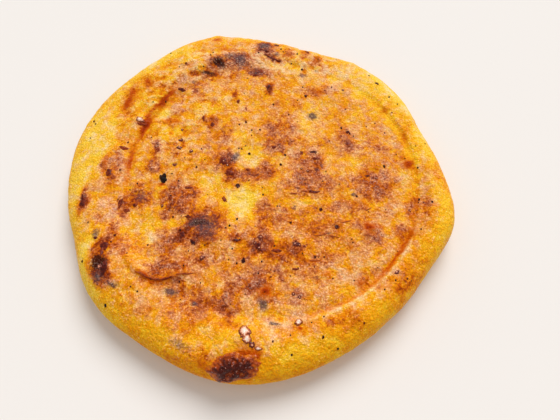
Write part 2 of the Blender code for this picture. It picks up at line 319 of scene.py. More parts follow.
# %% [markdown]
# ## Where the crust browned
# The colour of a fried crust follows heat. The lists name the places that a cook would point at,
# and together they say more about this bread than any random pattern could. First come the brown
# swells that lay on the hot metal, and the hollows and edges that stayed pale because only the oil
# reached them.

# %% Brown and pale places
# x, y, half size, other half size, turn, strength in percent. A short row is round or has no turn.
BROWN_PLACES = marks(
    (22, -4, 24, 22, 6), (3, 15, 6, 8, -10, 23), (-4, 0.5, 7, 3.2, 15, 32), (-14, 0, 3, 2, 30),
    (-16, 5, 3.2, 4.2, 42), (-17, 17, 3, 4, 12), (14, 4, 7, 5, 15), (13, -4, 8, 4, 18),
    (22, -12, 8, 3, 8), (33.5, -4.5, 6.5, 5, -10, 20), (39, 3, 3.5, 9, 5), (26, 14, 3, 5, 20, 22),
    (38, 14, 9, 8, 6), (46.5, 3.5, 2.4, 1.8, 30), (48, -12, 4, 4.5, 22), (42, -22, 2.6, 3, -30, 24),
    (33, -22, 4, 14), (-2, -16, 3, 6, 22), (8, -19, 10, 6, 8), (2, -18, 5, 4, 5), (-20, 10, 5, 6, 6),
    (-45, -26, 5, 7), (-20, -29, 7, 3, 7), (15, -35, 8, 4, 5), (-4, -25, 4, 5, 26), (3, -28, 6, 3, 26),
    (8, -26, 2.4, 2, 25), (12, -30, 6, 3, 12), (-11, -24.5, 2.6, 1.6, 24), (-5, -38, 5, 3, 10, 30),
    (-12.5, -43.5, 4.5, 4, 26), (-20, -44, 3, 2, 26), (8, -42, 3, 2.4, 16), (28, -38, 2.6, 14),
    (22, -49, 6, 3, 15, 14), (-30, -10, 6, 6.5, -10, 38), (-22, -19, 7, 6, 42), (-28, -23, 4, 3, 34),
    (-33, -26, 3.5, 5, 18), (-33, -33, 5, 2.4, 26), (-37, -36, 4, 1.4, -15, 26), (-40, 2.5, 3, 26),
    (-39.5, 11, 1.6, 3, 24), (-53, 3, 4, 6, 16), (-56.5, 4, 1.2, 4, 30), (-54, -13, 4, 5, 6),
    (-43, -8.5, 4, 4.5, 28), (-48, -12, 1.8, 4, 22), (-62, -10, 1.8, 4.4, 42),
    (-52, -34, 3.5, 5, 20, 50), (-51.5, -26.5, 2.4, 40), (-55, -29, 3, 2, 20),
    (-52, 30, 2.2, 6, -12, 6), (-46, 39, 4, 3, -45, 4), (-41, 30, 1.4, 8, -38, 6),
    (-46, 19, 1.3, 5, -12, 8), (-36, 22, 4, 2.6, 14), (-21.5, 21.5, 2, 3, 34), (-24.5, 23, 1, 1.6, 30),
    (-13.5, 32.5, 1.8, 2.6, 30), (-28, 38, 3, 16), (-34, 28, 3, 10), (-33, 47.5, 3.5, 2.4, -30, 10),
    (-1.5, 37, 1.4, 2.6, -15, 42), (16, 35.5, 6, 3, 16), (-21.5, 49.5, 4.5, 3.5, 15, 50),
    (-24.5, 44.5, 3, 2.2, 42), (-12.5, 50.5, 4.5, 4, 24), (-5, 45, 4.5, 2.6, -10, 34),
    (-3.5, 57, 3.5, 3, 38), (0, 52, 4, 1.4, -25, 30), (6, 55, 2.5, 3, 22), (12.5, 54, 2, 2.4, 20),
    (16.5, 50.5, 1.3, 3, -35, 26), (26, 45, 2, 3, 30, 4), (-45, -44, 14, 5, -38, 5), (-2, -39, 4, 14),
    (-30, -35, 4, 3, 14), (-9, -28, 5, 3, 12), (-54, -2, 2.4, 4, 10), (-47, 22, 2, 16),
    (0, 60, 4, 2, 14), (-16, 46, 5, 8, -60, 10), (57, -2, 2.4, 6, 14), (30, -20, 4, 2.4, 12),
    (33, -5, 5, 4, 10), (42, -38, 9, 3.5, 52, 12), (-18, -59.5, 3, 1.4, -15, 20), (-25, -45, 6, 3, 10),
    (-25, -31, 8, 4, 10), (-16, 4, 4, 12), (-35, -15, 2.4, 2, 16), (-50, -22, 2.4, 4, 16),
    (21, -20, 2, 1.2, 12), (-22, -40, 12, 5), (-18, -51, 7, 7), (17, -28, 5, 13, 8),
    (-45, -10, 7, 9, 5), (-46, -22, 5, 6, 5), (0, 40, 4, 9, 6), (0, 52, 5, 4, 5), (5, 28, 6, 5, 6),
    (-36, 12, 8, 7, 6), (-15, 38, 5, 6), (-42, 36, 5, 4, 6), (1, -43, 3.5, 6, 8), (-28, -38, 8, 4, 5),
    (-9, -34, 5, 3, 8), (0, -35, 5, 3, 8), (20, -20, 8, 4, 6), (36, -38, 5, 6, 6), (36, -14, 4, 6),
    (14, -53, 8, 4, 5), (-2, 7.5, 8, 2.5, 4), (0, -43, 4, 3, 6), (26, -28, 5, 3, 5),
    (-10, -33, 4, 3, 5), (15, 20, 3, 4, 5), (13, -42, 5, 3, 5), (5, -34, 4, 3, 5), (-17, 38, 4, 3, 5),
    # The last row darkens the low front rim: painted shade and shadow on the edge that faces the table.
    (-17, -61, 13, 4, 7),
)
PALE_PLACES = marks(
    (-9, -11, 6, 5.6, 34), (-6.5, 7, 3.8, 24), (-22, -2.5, 6, 4, 18), (-42, -19, 6, 5, 20),
    (14, 23, 6, 13), (13, 17, 3, 5, 10), (4, 47, 8, 4, 16), (-17, 36, 3, 7, 12), (-37, 17, 4, 16),
    (11, -11, 8, 1.8, 22), (2, 3, 3, 4, 18), (-37, -24, 2.6, 1.6, 20, 30), (20, 6, 3, 4, 16),
    (-44, 29, 5, 6, -30, 10), (-48, 41, 3, 2, 12), (-55, 33, 2.4, 12), (-38, 27, 1.6, 3.6, -15, 22),
    (45, -3, 2, 6, 12), (-62, 10, 6, 18, -8, 22), (-44, 52, 14, 4, 42, 16), (43, 36, 14, 4.5, -52, 18),
    (52, 14, 3, 8, 14), (56, -12, 3.5, 10, 12), (-16.5, -54.5, 8, 3.4, -8, 17),
    (10, -57, 14, 4, 12, 14), (-39.5, 25, 2.2, 2.6, 26), (-48.5, 29, 1.8, 2, 22), (-56, 24, 3, 7, 10),
    (-34.5, 34, 2, 10), (-48, -46, 10, 3, -40, 14), (-34, -52, 8, 2, -28, 10), (26, 44, 5, 4, 20),
    (33, 36, 3, 5, -40, 14), (28, -9.5, 2.4, 1.4, 14), (10, -15, 3, 2, 12), (-23, -14, 2, 1.6, 14),
    (27, 5, 3, 16), (36, 6, 3, 14), (-11, 16, 3, 4, 16), (-18, 32, 3, 10), (-26, 26, 4, 12),
    (-58, -27, 2, 4, 12), (-59, -10, 2, 3, 10), (-46, 8, 2.4, 4, 10), (3, 41, 5, 2, 10),
    (-33, 53, 9, 4, 30, 12), (14, 42, 8, 4, 11), (39, 28, 5, 9, 35, 10), (42, 16, 4, 5, 10),
    (25, 3, 5, 6, 8), (28, -6, 2.4, 3, 10), (-25, -13, 3.4, 3, 14), (-56, -34, 3, 9, 15, 24),
    (24, -48, 6, 4, 8), (-30, 50, 7, 4, 20, 12), (32, 42, 5, 3, -40, 12), (-2, -3, 4, 3, 8),
    (6, 16, 3, 5, 8), (-12, -18, 3, 5), (-28, -17, 2, 8), (-28, 47, 5, 3, 6), (-51, -39, 3, 12),
    (-28, -20, 5, 14), (-42, 30, 4, 6), (15, -17, 4, 3, 10), (35, -3, 3, 7), (-56, -25, 3, 4, 8),
    (25, 17, 3, 7), (-40, 29, 3, 4, 5), (-46, 21, 4, 5, 8), (20, 2, 3, 7), (-26, -14, 4, 3, 6),
    (-20, 27, 3, 7), (-25, 46, 3, 6), (-56, -24, 3, 6),
)
print("brown places:", len(BROWN_PLACES), " pale places:", len(PALE_PLACES))

# %% [markdown]
# ## Caramel, scorch, ash and dry skin
# More things happen to a crust. Sugar that seeps through stains it orange-red, and turns nearly
# black where it burns. Burnt sugar under thin dough looks grey-blue, like ash. Where the skin
# blistered and dried, a net of white is painted on as highlights. A thin bloom of flour and oil dulls
# some places and leaves others clean, and round the rim the skin dried in folds. Each is a list of
# its own, because each has its own colour or relief.

# %% Caramel, scorched, ashen, dry, dull and wrinkled places
CARAMEL_PLACES = marks(
    (-22, 62, 2, 1.8, 70), (-18, 55.5, 3, 1.4, 50), (-27, 55.5, 1.6, 2, 35),
    (-53, 30, 1.6, 4.4, -10, 85), (-52, 36, 1.8, 2.6, 60), (-46.7, 40, 1.4, 3.4, 30, 75),
    (-39.6, 31.5, 1.1, 6.6, -38, 100), (-45.4, 20.5, 1.2, 5.4, -14, 90), (-37, 22.5, 2, 1.8, 50),
    (-34, 22, 1.4, 1.2, 40), (-48.8, 5, 0.9, 5, 50), (-56.8, 4, 1, 4, 50), (17.5, 35, 1.4, 1.6, 60),
    (-21, 20, 1.6, 1.4, 60), (46.5, 3.5, 1.8, 1.5, 90), (31, -20, 1.7, 1.5, 100),
    (34, -20, 2, 0.6, 10, 40), (45, -21, 0.9, 5, -30, 40), (-1.4, -40.6, 1.8, 100),
    (2, -28, 1.8, 0.9, 70), (13.5, -7.5, 1.8, 0.6, 80), (13, -31, 2.4, 0.5, 80),
    (24, -18, 2.4, 0.5, 10, 60), (15, -22.8, 3, 0.5, 10, 40), (17, -35.5, 1.6, 1, 50),
    (27, -38, 1.2, 1.6, 50), (8.5, -51.5, 1, 0.8, 90), (20.7, -50.7, 1, 50), (-6.4, -57, 3.4, 2, 36),
    (-3.6, -59.4, 1.8, 2.4, 50), (-8, -59, 4, 1.2, 60), (-38, -36, 3.4, 0.9, -35, 90),
    (-33, -37.2, 3, 0.6, 10, 80), (-26, -35.2, 4, 0.5, 8, 70), (-19, -61.5, 2.5, 1.2, -20, 50),
    (-36.5, -4.2, 1.6, 1, 80), (-27.5, -5.4, 1.4, 0.6, 60), (25.5, 28, 2, 35), (19.5, 24, 0.7, 50),
    (16.5, 50.5, 1, 2.6, -35, 50), (6.5, 54.5, 1, 2.5, -20, 40), (47, 16, 1.1, 5, -22, 40),
    (41, 27, 1.2, 6, -38, 35), (38.5, -30, 9, 0.9, 50, 40), (19, -45, 9, 0.8, 22, 30),
)
SCORCHED_PLACES = marks(
    (-21.5, 49.5, 2.6, 2, 15, 90), (-19, 47.5, 1.6, 60), (-24.5, 44.3, 2.2, 1.3, -15, 100),
    (-28.5, 45, 2.4, 0.8, -35, 45), (-3.5, 55.4, 2, 0.9, -10, 80), (-0.2, 51.8, 3.2, 0.6, -25, 80),
    (-5, 45.5, 1.4, 0.8, 60), (-6.3, 43.5, 1.4, 0.6, 60), (1.6, 59.3, 0.9, 0.7, 80),
    (-1.5, 37, 0.8, 1.5, -15, 80), (-33.8, 36.3, 1.1, 0.6, 80), (-54.8, 0, 0.8, 1.4, 70),
    (-51.5, 10.3, 1.2, 0.7, -30, 50), (-46.9, 20.4, 1, 0.5, 50), (-21.2, 20, 0.8, 1, 60),
    (-24.6, 23, 0.5, 1, 50), (-12.5, 30.5, 0.5, 0.8, 60), (-16.5, 4.8, 1.4, 1.6, 70),
    (-14.3, -0.2, 1.6, 0.9, 60), (-8, 1.6, 0.8, 0.5, 60), (-5.8, -0.4, 1.2, 0.4, 50),
    (-61.8, -10.3, 0.9, 2.2, 5, 80), (-49.3, -11, 0.6, 1.8, 70), (-47, -13.6, 1, 0.7, 50),
    (-44.5, -11.8, 0.8, 0.6, 60), (-48.6, -16, 0.5, 1.2, 40), (-52.6, -32, 2.2, 2.4, 120),
    (-50.3, -33.5, 0.8, 2, 90), (-51.5, -26.6, 1.3, 80), (-47.3, -38.8, 2.2, 0.7, -25, 45),
    (-54.8, -23.7, 0.7, 0.5, 70), (-57.6, -30, 1.4, 0.5, 20, 45), (-26.5, -16.5, 1.2, 0.5, -20, 70),
    (-23.5, -18.6, 2.4, 1, 80), (-28, -22.3, 0.9, 1.1, 80), (-24.4, -25, 0.9, 0.7, -30, 90),
    (-20, -17.5, 3, 2.5, 30), (-32.5, -13.5, 1.8, 1, 40), (-27.6, -5.4, 1.3, 0.5, 70),
    (-33, -9.5, 0.7, 0.6, 50), (-11.2, -4.7, 0.7, 0.8, 100), (-15.3, -9.8, 0.6, 1.3, 30, 50),
    (-8.4, -31, 0.6, 0.9, 110), (-21.3, -30, 0.6, 70), (-10.8, -24.4, 1.2, 0.5, 70),
    (-3.4, -23.4, 0.8, 70), (-4.2, -26.3, 1.1, 70), (-2.5, -27.6, 1, 0.6, 60), (1.8, -28, 1.6, 0.6, 60),
    (8, -25.9, 1.1, 0.7, 90), (10.5, -26.4, 0.5, 0.4, 60), (7.5, -33.7, 1, 0.4, 50),
    (20.8, -19.8, 0.7, 90), (16, -13.7, 0.6, 0.8, 80), (13.8, -7.4, 1.4, 0.5, 80),
    (7, -8, 1.4, 0.5, 40), (32.2, -1.1, 0.7, 0.5, 70), (14.3, 8.3, 1, 0.5, 90), (10.2, 8, 0.6, 0.7, 60),
    (0.6, 10.2, 0.6, 60), (26.7, 16.8, 0.7, 0.6, 90), (26.6, 11.8, 0.8, 1, 50), (15.2, 1.2, 0.7, 70),
    (15, 5.6, 1.4, 0.5, 50), (39.3, 39.7, 0.8, 0.7, 90), (13.4, 55.5, 0.8, 0.5, 70),
    (47, -13.5, 1, 0.8, 40), (-22.6, -44.6, 1.2, 0.6, 45), (1.2, -50.2, 1.5, 0.4, -12, 45),
    (-1.9, -43.4, 1.2, 0.7, 20, 45), (-39.6, 9.6, 0.8, 0.9, 50), (-33, 3.2, 0.5, 70),
)
ASHEN_PLACES = marks(
    (14.6, 24, 1.9, 1.7, 120), (-12.4, 6.5, 1.3, 2.2, -20, 100), (-12.2, 50.5, 2.4, 3, 90),
    (-16.5, 52, 2.6, 2, 60), (-3.2, 58.2, 3, 2.2, 100), (1.4, 53.6, 1.4, 1.2, 70),
    (1.2, -50.2, 1.6, 0.5, -12, 100), (-6, 45, 4, 2.2, -10, 60), (-20, 47.5, 1.6, 2, 70),
    (-20.5, -19.5, 4.2, 4, 75), (-25, -18.5, 2, 1.2, 60), (-2.2, -44.5, 1.5, 2.2, 20, 110),
    (-30, -40.3, 2.2, 1.2, -10, 90), (-30, -41.5, 3.4, 1, -10, 40), (-22.6, -44.4, 1.2, 0.7, 90),
    (-33, 3.3, 0.9, 0.8, 110), (15.3, 1.2, 0.8, 80), (11.4, 43.6, 1.8, 1.3, 80),
    (-52.3, -36.5, 2.2, 2.4, 20, 80), (-47, -38.8, 2.2, 0.9, -25, 90), (-50.6, -33, 1, 2, 60),
    (-55, -22.4, 1.3, 1.7, 90), (-43, -8.5, 2.4, 2.8, 60), (-61.9, -8.6, 1.1, 2, 70),
    (14, -36.4, 1.8, 0.9, 60), (26.8, -8, 1.4, 0.6, 10, 90), (31.8, 28.7, 0.8, 0.6, 70),
    (7.6, -13, 1, 0.6, 60), (-34, 47.5, 2.2, 1.4, -30, 50), (-26, -56, 3.4, 1.2, -20, 60),
    (-17, 18, 1.6, 35), (18.3, -21.7, 1.2, 0.6, 15, 70), (-29.5, 40, 1, 0.6, 70), (46, 30, 0.6, 50),
    (43, 30.8, 0.6, 50), (16.5, 45.5, 0.9, 0.7, 60),
)
# Dry places are duller and rougher; the material also paints a white net of glints on them.
DRY_AND_GLINT_PLACES = marks(
    (4, 14, 6, 7, 45), (2, 46, 6, 4, 40), (34, 15, 8, 30), (-3, 1, 6, 3, 15, 40),
    (-30, -10, 6, 6, -10, 60), (-22, -20, 7, 5.5, 30), (34, -3.5, 6, 5, -10, 75), (12, -3, 8, 5, 55),
    (14, 5, 5, 4, 50), (26, 12, 3, 4.5, 20, 50), (-33, -33, 4.5, 2.2, 60), (-34, -26, 3, 4.5, 50),
    (-53, 4, 3.4, 5, 100), (-53, -13, 4.5, 90), (-33, 40.5, 1.8, 3, 100), (-34.5, 32, 3, 70),
    (-33.5, 28, 2, 70), (-32, 46, 3, 2.4, 40), (-18, 51, 5, 3.5, 50), (-2, 54, 4.5, 4, 60),
    (-8, 48, 6, 3.5, 60), (-29, 37, 3, 50), (-20, 33, 2, 3, 30), (-12, 5, 3, 4, 60),
    (-40, 2.5, 2.6, 80), (-39, 11, 1.6, 2.6, 60), (-47.3, 21.8, 1.6, 100), (23, 37, 4, 3, 50),
    (-6, -38, 4, 2.4, 60), (-12.5, -43.5, 3.6, 3, 50), (8, -42, 2.4, 2, 90), (49, -12, 4, 60),
    (33, -22, 3, 50), (-52, -36, 3, 60), (-28, -48, 3, 2, 50), (-25, -57, 4, 2.4, -20, 60),
    (18, -33.3, 2.4, 0.9, 90), (25, -35.8, 3.4, 1, -5, 90), (38, -36, 1.8, 1.2, -20, 80),
    (-1, -54, 4, 3, 50), (6, -48.5, 8, 1.2, 8, 60), (24, 46, 5, 4, 30), (-4, -25, 3, 30),
    (40, 6, 3.5, 9, 35), (10, -17, 10, 6, 20), (-38, 26, 1.4, 3.6, -15, 70),
    (-36.7, -24, 2.4, 1.4, 20, 80), (-41, -44, 5, 2, -30, 30),
)
# Strengths under 0 are clean places.
DULL_PLACES = marks(
    (-24, -38, 16, 10, 24), (16, -30, 9, 15, 20), (-14, 30, 9, 16, 14), (13, 24, 7, 22),
    (12, 46, 20, 6, 18), (-32, 43, 9, 8, 30, 18), (-8, 52, 12, 6, 24), (-32, 14, 10, 8, 14),
    (-42, -22, 8, 10, 12), (37, -18, 6, 8, 20), (0, -45, 10, 6, 22), (30, -38, 9, 6, 40, 14),
    (25, 40, 16, 6, -12, 30), (-13, 14, 8, 6, 15), (10, 14, 7, 6, 20), (22, 5, 6, 5, 15),
    (-38, -42, 12, 5, -20, 25), (-22, -58, 6, 3, 30), (6, -36, 6, 5, 15), (38, -14, 6, 5, 15),
    (-31, 51, 5, 4, 30), (-18, -27, 8, 6, 25), (-9, 55, 6, 4, 20), (-15, 15, 6, 7, 15),
    (-50, 14, 5, 20), (10, 15, 6, 15), (0, 7, 3, 15), (-9, -34, 6, 4, 15), (-35, 20, 5, -30),
    (-35, -13, 4, 7, -20), (-5, -13, 4, 3, -25), (12, -18, 6, 3, -22), (15, 1, 4, 3, -12),
    (-17, -51, 7, 4, -45), (-35, -33, 4, -15), (35, -3, 4, -15), (-23, 48, 9, 6, -10, 25),
    (12, 42, 6, 3, 20), (-20, 37, 3, -10), (50, -18, 3, 6, -30), (50, 17, 3, 5, -30), (-51, 39, 5, -25),
    (-46, 29, 8, 10, -22), (42, 26, 4, 10, 30, -14), (34, -2, 7, 4, -8), (14, 0, 6, 4, -8),
)
WRINKLED_PLACES = marks(
    (-44, 34, 13, 15, -35, 90), (-26, 47, 12, 7, 20, 100), (-2, 50, 14, 8, 90), (17, 47, 8, 6, -20, 80),
    (-34, 12, 9, 12, 90), (-52, 4, 6, 14, 50), (-48, -22, 8, 12, 40), (-28, -37, 14, 6, 40),
    (-22, 28, 8, 10, 50), (-6, -42, 14, 6, 50), (24, -36, 12, 6, 25, 40), (12, 6, 6, 5, 40),
)
print("scorched places:", len(SCORCHED_PLACES), " caramel places:", len(CARAMEL_PLACES))

# %% [markdown]
# ## Heat fields on the skin
# A plain bell gives a round blotch with a soft edge, which no crust has. So the point is first moved
# sideways by noise before it is looked up, which tears the edge of every blotch. The results are
# kept as numbers on the skin's points, and the material reads them from there.

# %% The fields
FACE_BROWNING, EDGE_BROWNING, UNDERSIDE_BROWNING = 0.34, 0.21, 0.50
BROWN_GAIN, PATCH_EDGE, FULL_BROWN, OVER_FULL = 1.50, 1.8, 0.61, 0.4
# Along the press's ring the lip's paleness and veil are a painted highlight on the edge that faces the
# light, and the crease and groove terms paint shade in the groove's foot together with a stain.
FACE_VEIL, DRY_VEIL, LIP_HIGHLIGHT_VEIL, RIDGE_LIGHT_VEIL, PALE_CLEANNESS = 0.14, 0.6, 0.4, 0.5, 0.3
# The fold term makes the ridges of folded skin paler and their creases browner, and the ridge veil makes
# the ridges duller: painted light and shade on the wrinkles.
LIP_PAINTED_HIGHLIGHT, FOLD_LIGHT_AND_SHADE, CREASE_SHADE_AND_BROWNING = 0.20, 0.22, 0.08
GROOVE_SHADE_AND_CARAMEL, CREASE_SHADE_AND_CARAMEL, CREASE_RADIUS = 0.12, 0.26, 49.0
# Tearing of patches and of small spots: noise cell, shift, seed. The press's rings take a share.
PATCH_TEAR, SPOT_TEAR, RING_TEAR = (3.2, 1.3, 40), (1.5, 0.45, 60), 0.25
# Half widths of the rings that the press left: stain with painted shade, tone, crease, lip.
SHADE_AND_STAIN_WIDTH, TONE_WIDTH, CREASE_WIDTH, LIP_WIDTH = 1.3, 1.6, 0.45, 0.6
# Round the rim: bearing, half width in degrees, change of browning or veil.
# The front entries of the edge tones and veils make the front edge browner and more saturated, partly as
# the crust's own colour and partly as painted shade of the edge turned away from the light.
EDGE_TONES = ((262, 50, 0.115), (25, 40, -0.03), (178, 36, -0.04), (350, 24, 0.04))
EDGE_VEILS = (
    (270, 58, -1.00), (178, 36, 0.10), (38, 34, 0.10), (130, 26, -0.30), (352, 26, -0.40),
)
GROOVE_TONES = ((30, 30, -0.10), (322, 34, -0.03), (152, 30, 0.08))
GROOVE_VEILS = ((30, 30, -0.80), (322, 34, -0.15), (152, 30, -0.60))


def crinkle(points):
    """1 minus twice the noise's size: sharp creases downwards, round ridges, from -1 to 1."""
    return 1.0 - 2.0 * np.abs(layered_noise(points, 2.4, 3, 210))


def torn(points, cell, shift, seed):
    """The points moved sideways by noise, so that a round bell gets a ragged edge."""
    dx = layered_noise(points, cell, 3, seed)
    dy = layered_noise(points, cell, 3, seed + 10)
    return points[..., 0] + shift * dx, points[..., 1] + shift * dy


def underside(points, inset):
    """Browning and scorch where the bread lies on the pan: noise, fading out towards the edge."""
    edge = 1.0 - smoothstep(2.0, 10.0, inset)
    seared = UNDERSIDE_BROWNING + 0.30 * layered_noise(points, 11.0, 4, 120)
    black = smoothstep(0.55, 1.0, layered_noise(points, 9.0, 3, 150))
    return seared * (1.0 - edge) + EDGE_BROWNING * edge, black * (1.0 - edge)


def heat_fields(points):
    """The crust's fields at each point: torn bells at the named places plus seeded mottling.

    Browning picks the colour and the veil how dull it is. Both carry painted light as well: a
    highlight on the press's lip and on the ridges of folds, and shade in the creases of folds, in the
    groove's crease and on the front edge. Folds deepen the wrinkles. Scorch, ash, caramel and dryness
    are finishes of their own; caramel also carries painted shade in the groove, and dryness a painted
    net of glints.
    """
    bearing = np.degrees(np.arctan2(points[..., 1], points[..., 0]))
    true_radius = np.hypot(points[..., 0], points[..., 1])
    inset = outline_reach(bearing) - true_radius
    top, edge = smoothstep(1.5, 8.0, points[..., 2]), 1.0 - smoothstep(1.0, 10.0, inset)
    x, y = torn(points, *PATCH_TEAR)
    fine_x, fine_y = torn(points, *SPOT_TEAR)

    radius = np.hypot(fine_x, fine_y)
    ring_radius = true_radius + RING_TEAR * (radius - true_radius)
    stamped = np.clip(sum_round_rim(bearing, GROOVE_REACHES), 0, 1)
    groove = stamped * bell(radius - GROOVE_RADIUS, SHADE_AND_STAIN_WIDTH)
    crease = stamped * bell(ring_radius - CREASE_RADIUS, CREASE_WIDTH)
    lip = np.clip(sum_round_rim(bearing, LIP_REACHES), 0, 1)
    lip = lip * bell(ring_radius - LIP_RADIUS, LIP_WIDTH)
    beside_groove = bell(radius - GROOVE_RADIUS, TONE_WIDTH)
    folds = np.clip(patches(x, y, WRINKLED_PLACES), 0.0, 1.0)
    ridge = folds * (crinkle(points) - 0.3)
    dry, pale = patches(x, y, DRY_AND_GLINT_PLACES), patches(x, y, PALE_PLACES, PATCH_EDGE)

    blotch = 1.0 + 0.30 * layered_noise(points, 2.4, 2, 70)
    mottle = 0.05 * layered_noise(points, 6.0, 3, 80) + 0.05 * layered_noise(points, 1.6, 2, 90)
    # At the front the edge tones are partly painted shade.
    brown = EDGE_BROWNING - FACE_BROWNING + sum_round_rim(bearing, EDGE_TONES)
    # Folded skin: paler on ridges and browner in creases, painted light and shade.
    brown = FACE_BROWNING + brown * edge + mottle - FOLD_LIGHT_AND_SHADE * ridge
    brown = brown + BROWN_GAIN * patches(x, y, BROWN_PLACES, PATCH_EDGE) * blotch - pale
    brown = np.where(brown > FULL_BROWN, FULL_BROWN + OVER_FULL * (brown - FULL_BROWN), brown)
    brown = brown + sum_round_rim(bearing, GROOVE_TONES) * beside_groove
    # Paler on the lip, a painted highlight; browner in the crease, painted shade with a stain.
    brown = brown - LIP_PAINTED_HIGHLIGHT * lip + CREASE_SHADE_AND_BROWNING * crease
    under_brown, under_scorch = underside(points, inset)

    # Duller on the lip: part of its painted highlight.
    veil = FACE_VEIL + (sum_round_rim(bearing, EDGE_VEILS) - FACE_VEIL) * edge + LIP_HIGHLIGHT_VEIL * lip
    veil = veil + sum_round_rim(bearing, GROOVE_VEILS) * beside_groove - PALE_CLEANNESS * pale
    # Ridges of folds duller, as painted light; dry places duller.
    veil = veil + patches(x, y, DULL_PLACES) + RIDGE_LIGHT_VEIL * ridge + DRY_VEIL * top * dry
    caramel = patches(fine_x, fine_y, CARAMEL_PLACES)
    # Orange in the groove and its crease: a stain with painted shade.
    caramel = caramel + GROOVE_SHADE_AND_CARAMEL * groove + CREASE_SHADE_AND_CARAMEL * crease
    scorch = top * patches(fine_x, fine_y, SCORCHED_PLACES) + (1.0 - top) * under_scorch
    return {
        "folds": folds,
        "browning": np.clip(top * brown + (1.0 - top) * under_brown, 0.0, 1.2),
        "scorch": np.clip(scorch, 0.0, 1.2),
        "ash": np.clip(top * patches(fine_x, fine_y, ASHEN_PLACES), 0.0, 1.2),
        "caramel": np.clip(top * caramel, 0.0, 1.0),
        "dry": np.clip(top * dry, 0.0, 1.0),
        "veil": np.clip(veil, -1.0, 1.0),
    }


HEAT = heat_fields(SMOOTH_SKIN)
for field_name, field in HEAT.items():
    print(f"{field_name}: mean {field.mean():.2f}, most {field.max():.2f}")

# %% [markdown]
# ## Fine relief
# Fried dough is never smooth: oil blisters it, the skin crinkles as it dries, and small craters stay
# where it burnt. A bump map would fake this from above only, so the larger part of it is real
# geometry: the skin moves along its normal by layered noise, ridged for crinkles, and by small
# bells for blisters. At the outer edge it only moves inwards, so the bread keeps its size.

# %% Crinkles, blisters and craters
BLISTER_PLACES = places(
    (-7, -53.3, 3, 0.7), (31.5, -20.8, 3, 0.6), (-48, 22, 2.4, 0.6), (-1.5, -40.5, 3.2, 0.6),
    (46.5, 3.8, 2.8, 0.5), (-1.5, 37.5, 2.2, 0.5), (-31.5, -12, 2.2, 0.4), (17, 35, 2.4, 0.5),
    (-13.5, 32.5, 2, 0.4), (14.6, 24.2, 2.2, 0.4),
)
RANDOM_BLISTERS, SMALLEST_BLISTER, LARGEST_BLISTER = 260, 0.6, 1.9
FLATTEST, STEEPEST = 0.06, 0.22
LUMP_HEIGHT, CRINKLE_DEPTH, WRINKLE_DEPTH, GRIT_HEIGHT, CRATER_DEPTH = 0.28, 0.18, 0.20, 0.13, 0.2
CEILING, CEILING_SOFTNESS = 13.95, 0.8
CRAG_FROM, CRAG_TO, CRAG_DEPTH = 62, 106, 0.8
INWARD_SHARE, INWARD_SHIFT = 0.5, 0.12


def blister_rows():
    """Named blisters, then seeded ones spread evenly over the disc, each a low bell."""
    draw = np.random.default_rng(5)
    radius = NOMINAL_REACH * np.sqrt(draw.uniform(0, 1, RANDOM_BLISTERS))
    angle = draw.uniform(0, 2 * np.pi, RANDOM_BLISTERS)
    size = draw.uniform(SMALLEST_BLISTER, LARGEST_BLISTER, RANDOM_BLISTERS)
    height = size * draw.uniform(FLATTEST, STEEPEST, RANDOM_BLISTERS)
    seeded = np.column_stack((radius * np.cos(angle), radius * np.sin(angle), size, height))
    return np.concatenate((BLISTER_PLACES, places(*seeded)))


def fine_relief(points, heat):
    """Lumps, crinkles and grit, stronger where dry, brown or folded, plus blisters less craters."""
    rough = 0.45 + 0.55 * np.clip(heat["browning"] + heat["dry"], 0.0, 1.0)
    lumps = LUMP_HEIGHT * layered_noise(points, 7.0, 2, 200)
    wrinkles = (rough * CRINKLE_DEPTH + WRINKLE_DEPTH * heat["folds"]) * crinkle(points)
    grit = rough * GRIT_HEIGHT * smooth_noise(points, 1.1, 230)
    blisters = patches(points[..., 0], points[..., 1], blister_rows())
    return lumps + wrinkles + grit + blisters - CRATER_DEPTH * smoothstep(0.45, 0.8, heat["scorch"])


def crags(points, bearing):
    """Dents in the torn back edge, from 0 to CRAG_DEPTH."""
    ragged = 0.35 + 0.9 * layered_noise(points, 3.2, 2, 240)
    return CRAG_DEPTH * np.clip(ragged, 0.0, 1.0) * sector(bearing, CRAG_FROM, CRAG_TO)


def dressed_skin(points, normal, bearing, heat):
    """The skin moved along its normal: freely on the face, only inwards where it looks sideways."""
    relief = fine_relief(points, heat)
    side = smoothstep(0.35, 0.85, np.hypot(normal[..., 0], normal[..., 1]))
    inward = np.minimum(INWARD_SHARE * relief - INWARD_SHIFT, 0.0) - crags(points, bearing)
    relief = relief * (1.0 - side) + inward * side
    relief = relief * smoothstep(0.3, 2.5, points[..., 2])
    skin = points + relief[..., None] * normal
    over = np.maximum(skin[..., 2] - (CEILING - CEILING_SOFTNESS), 0.0)
    skin[..., 2] += CEILING_SOFTNESS * np.tanh(over / CEILING_SOFTNESS) - over
    return skin


SKIN = dressed_skin(SMOOTH_SKIN, SKIN_NORMAL, GRID_BEARING, HEAT)
print("skin height, mm:", round(SKIN[..., 2].max(), 2))


# %% [markdown]
# ## From grid to mesh
# The first and last ring of a grid are single points, so they become poles. Every other ring is
# joined to the next by quads that wrap round. Index arithmetic makes all faces in one go.

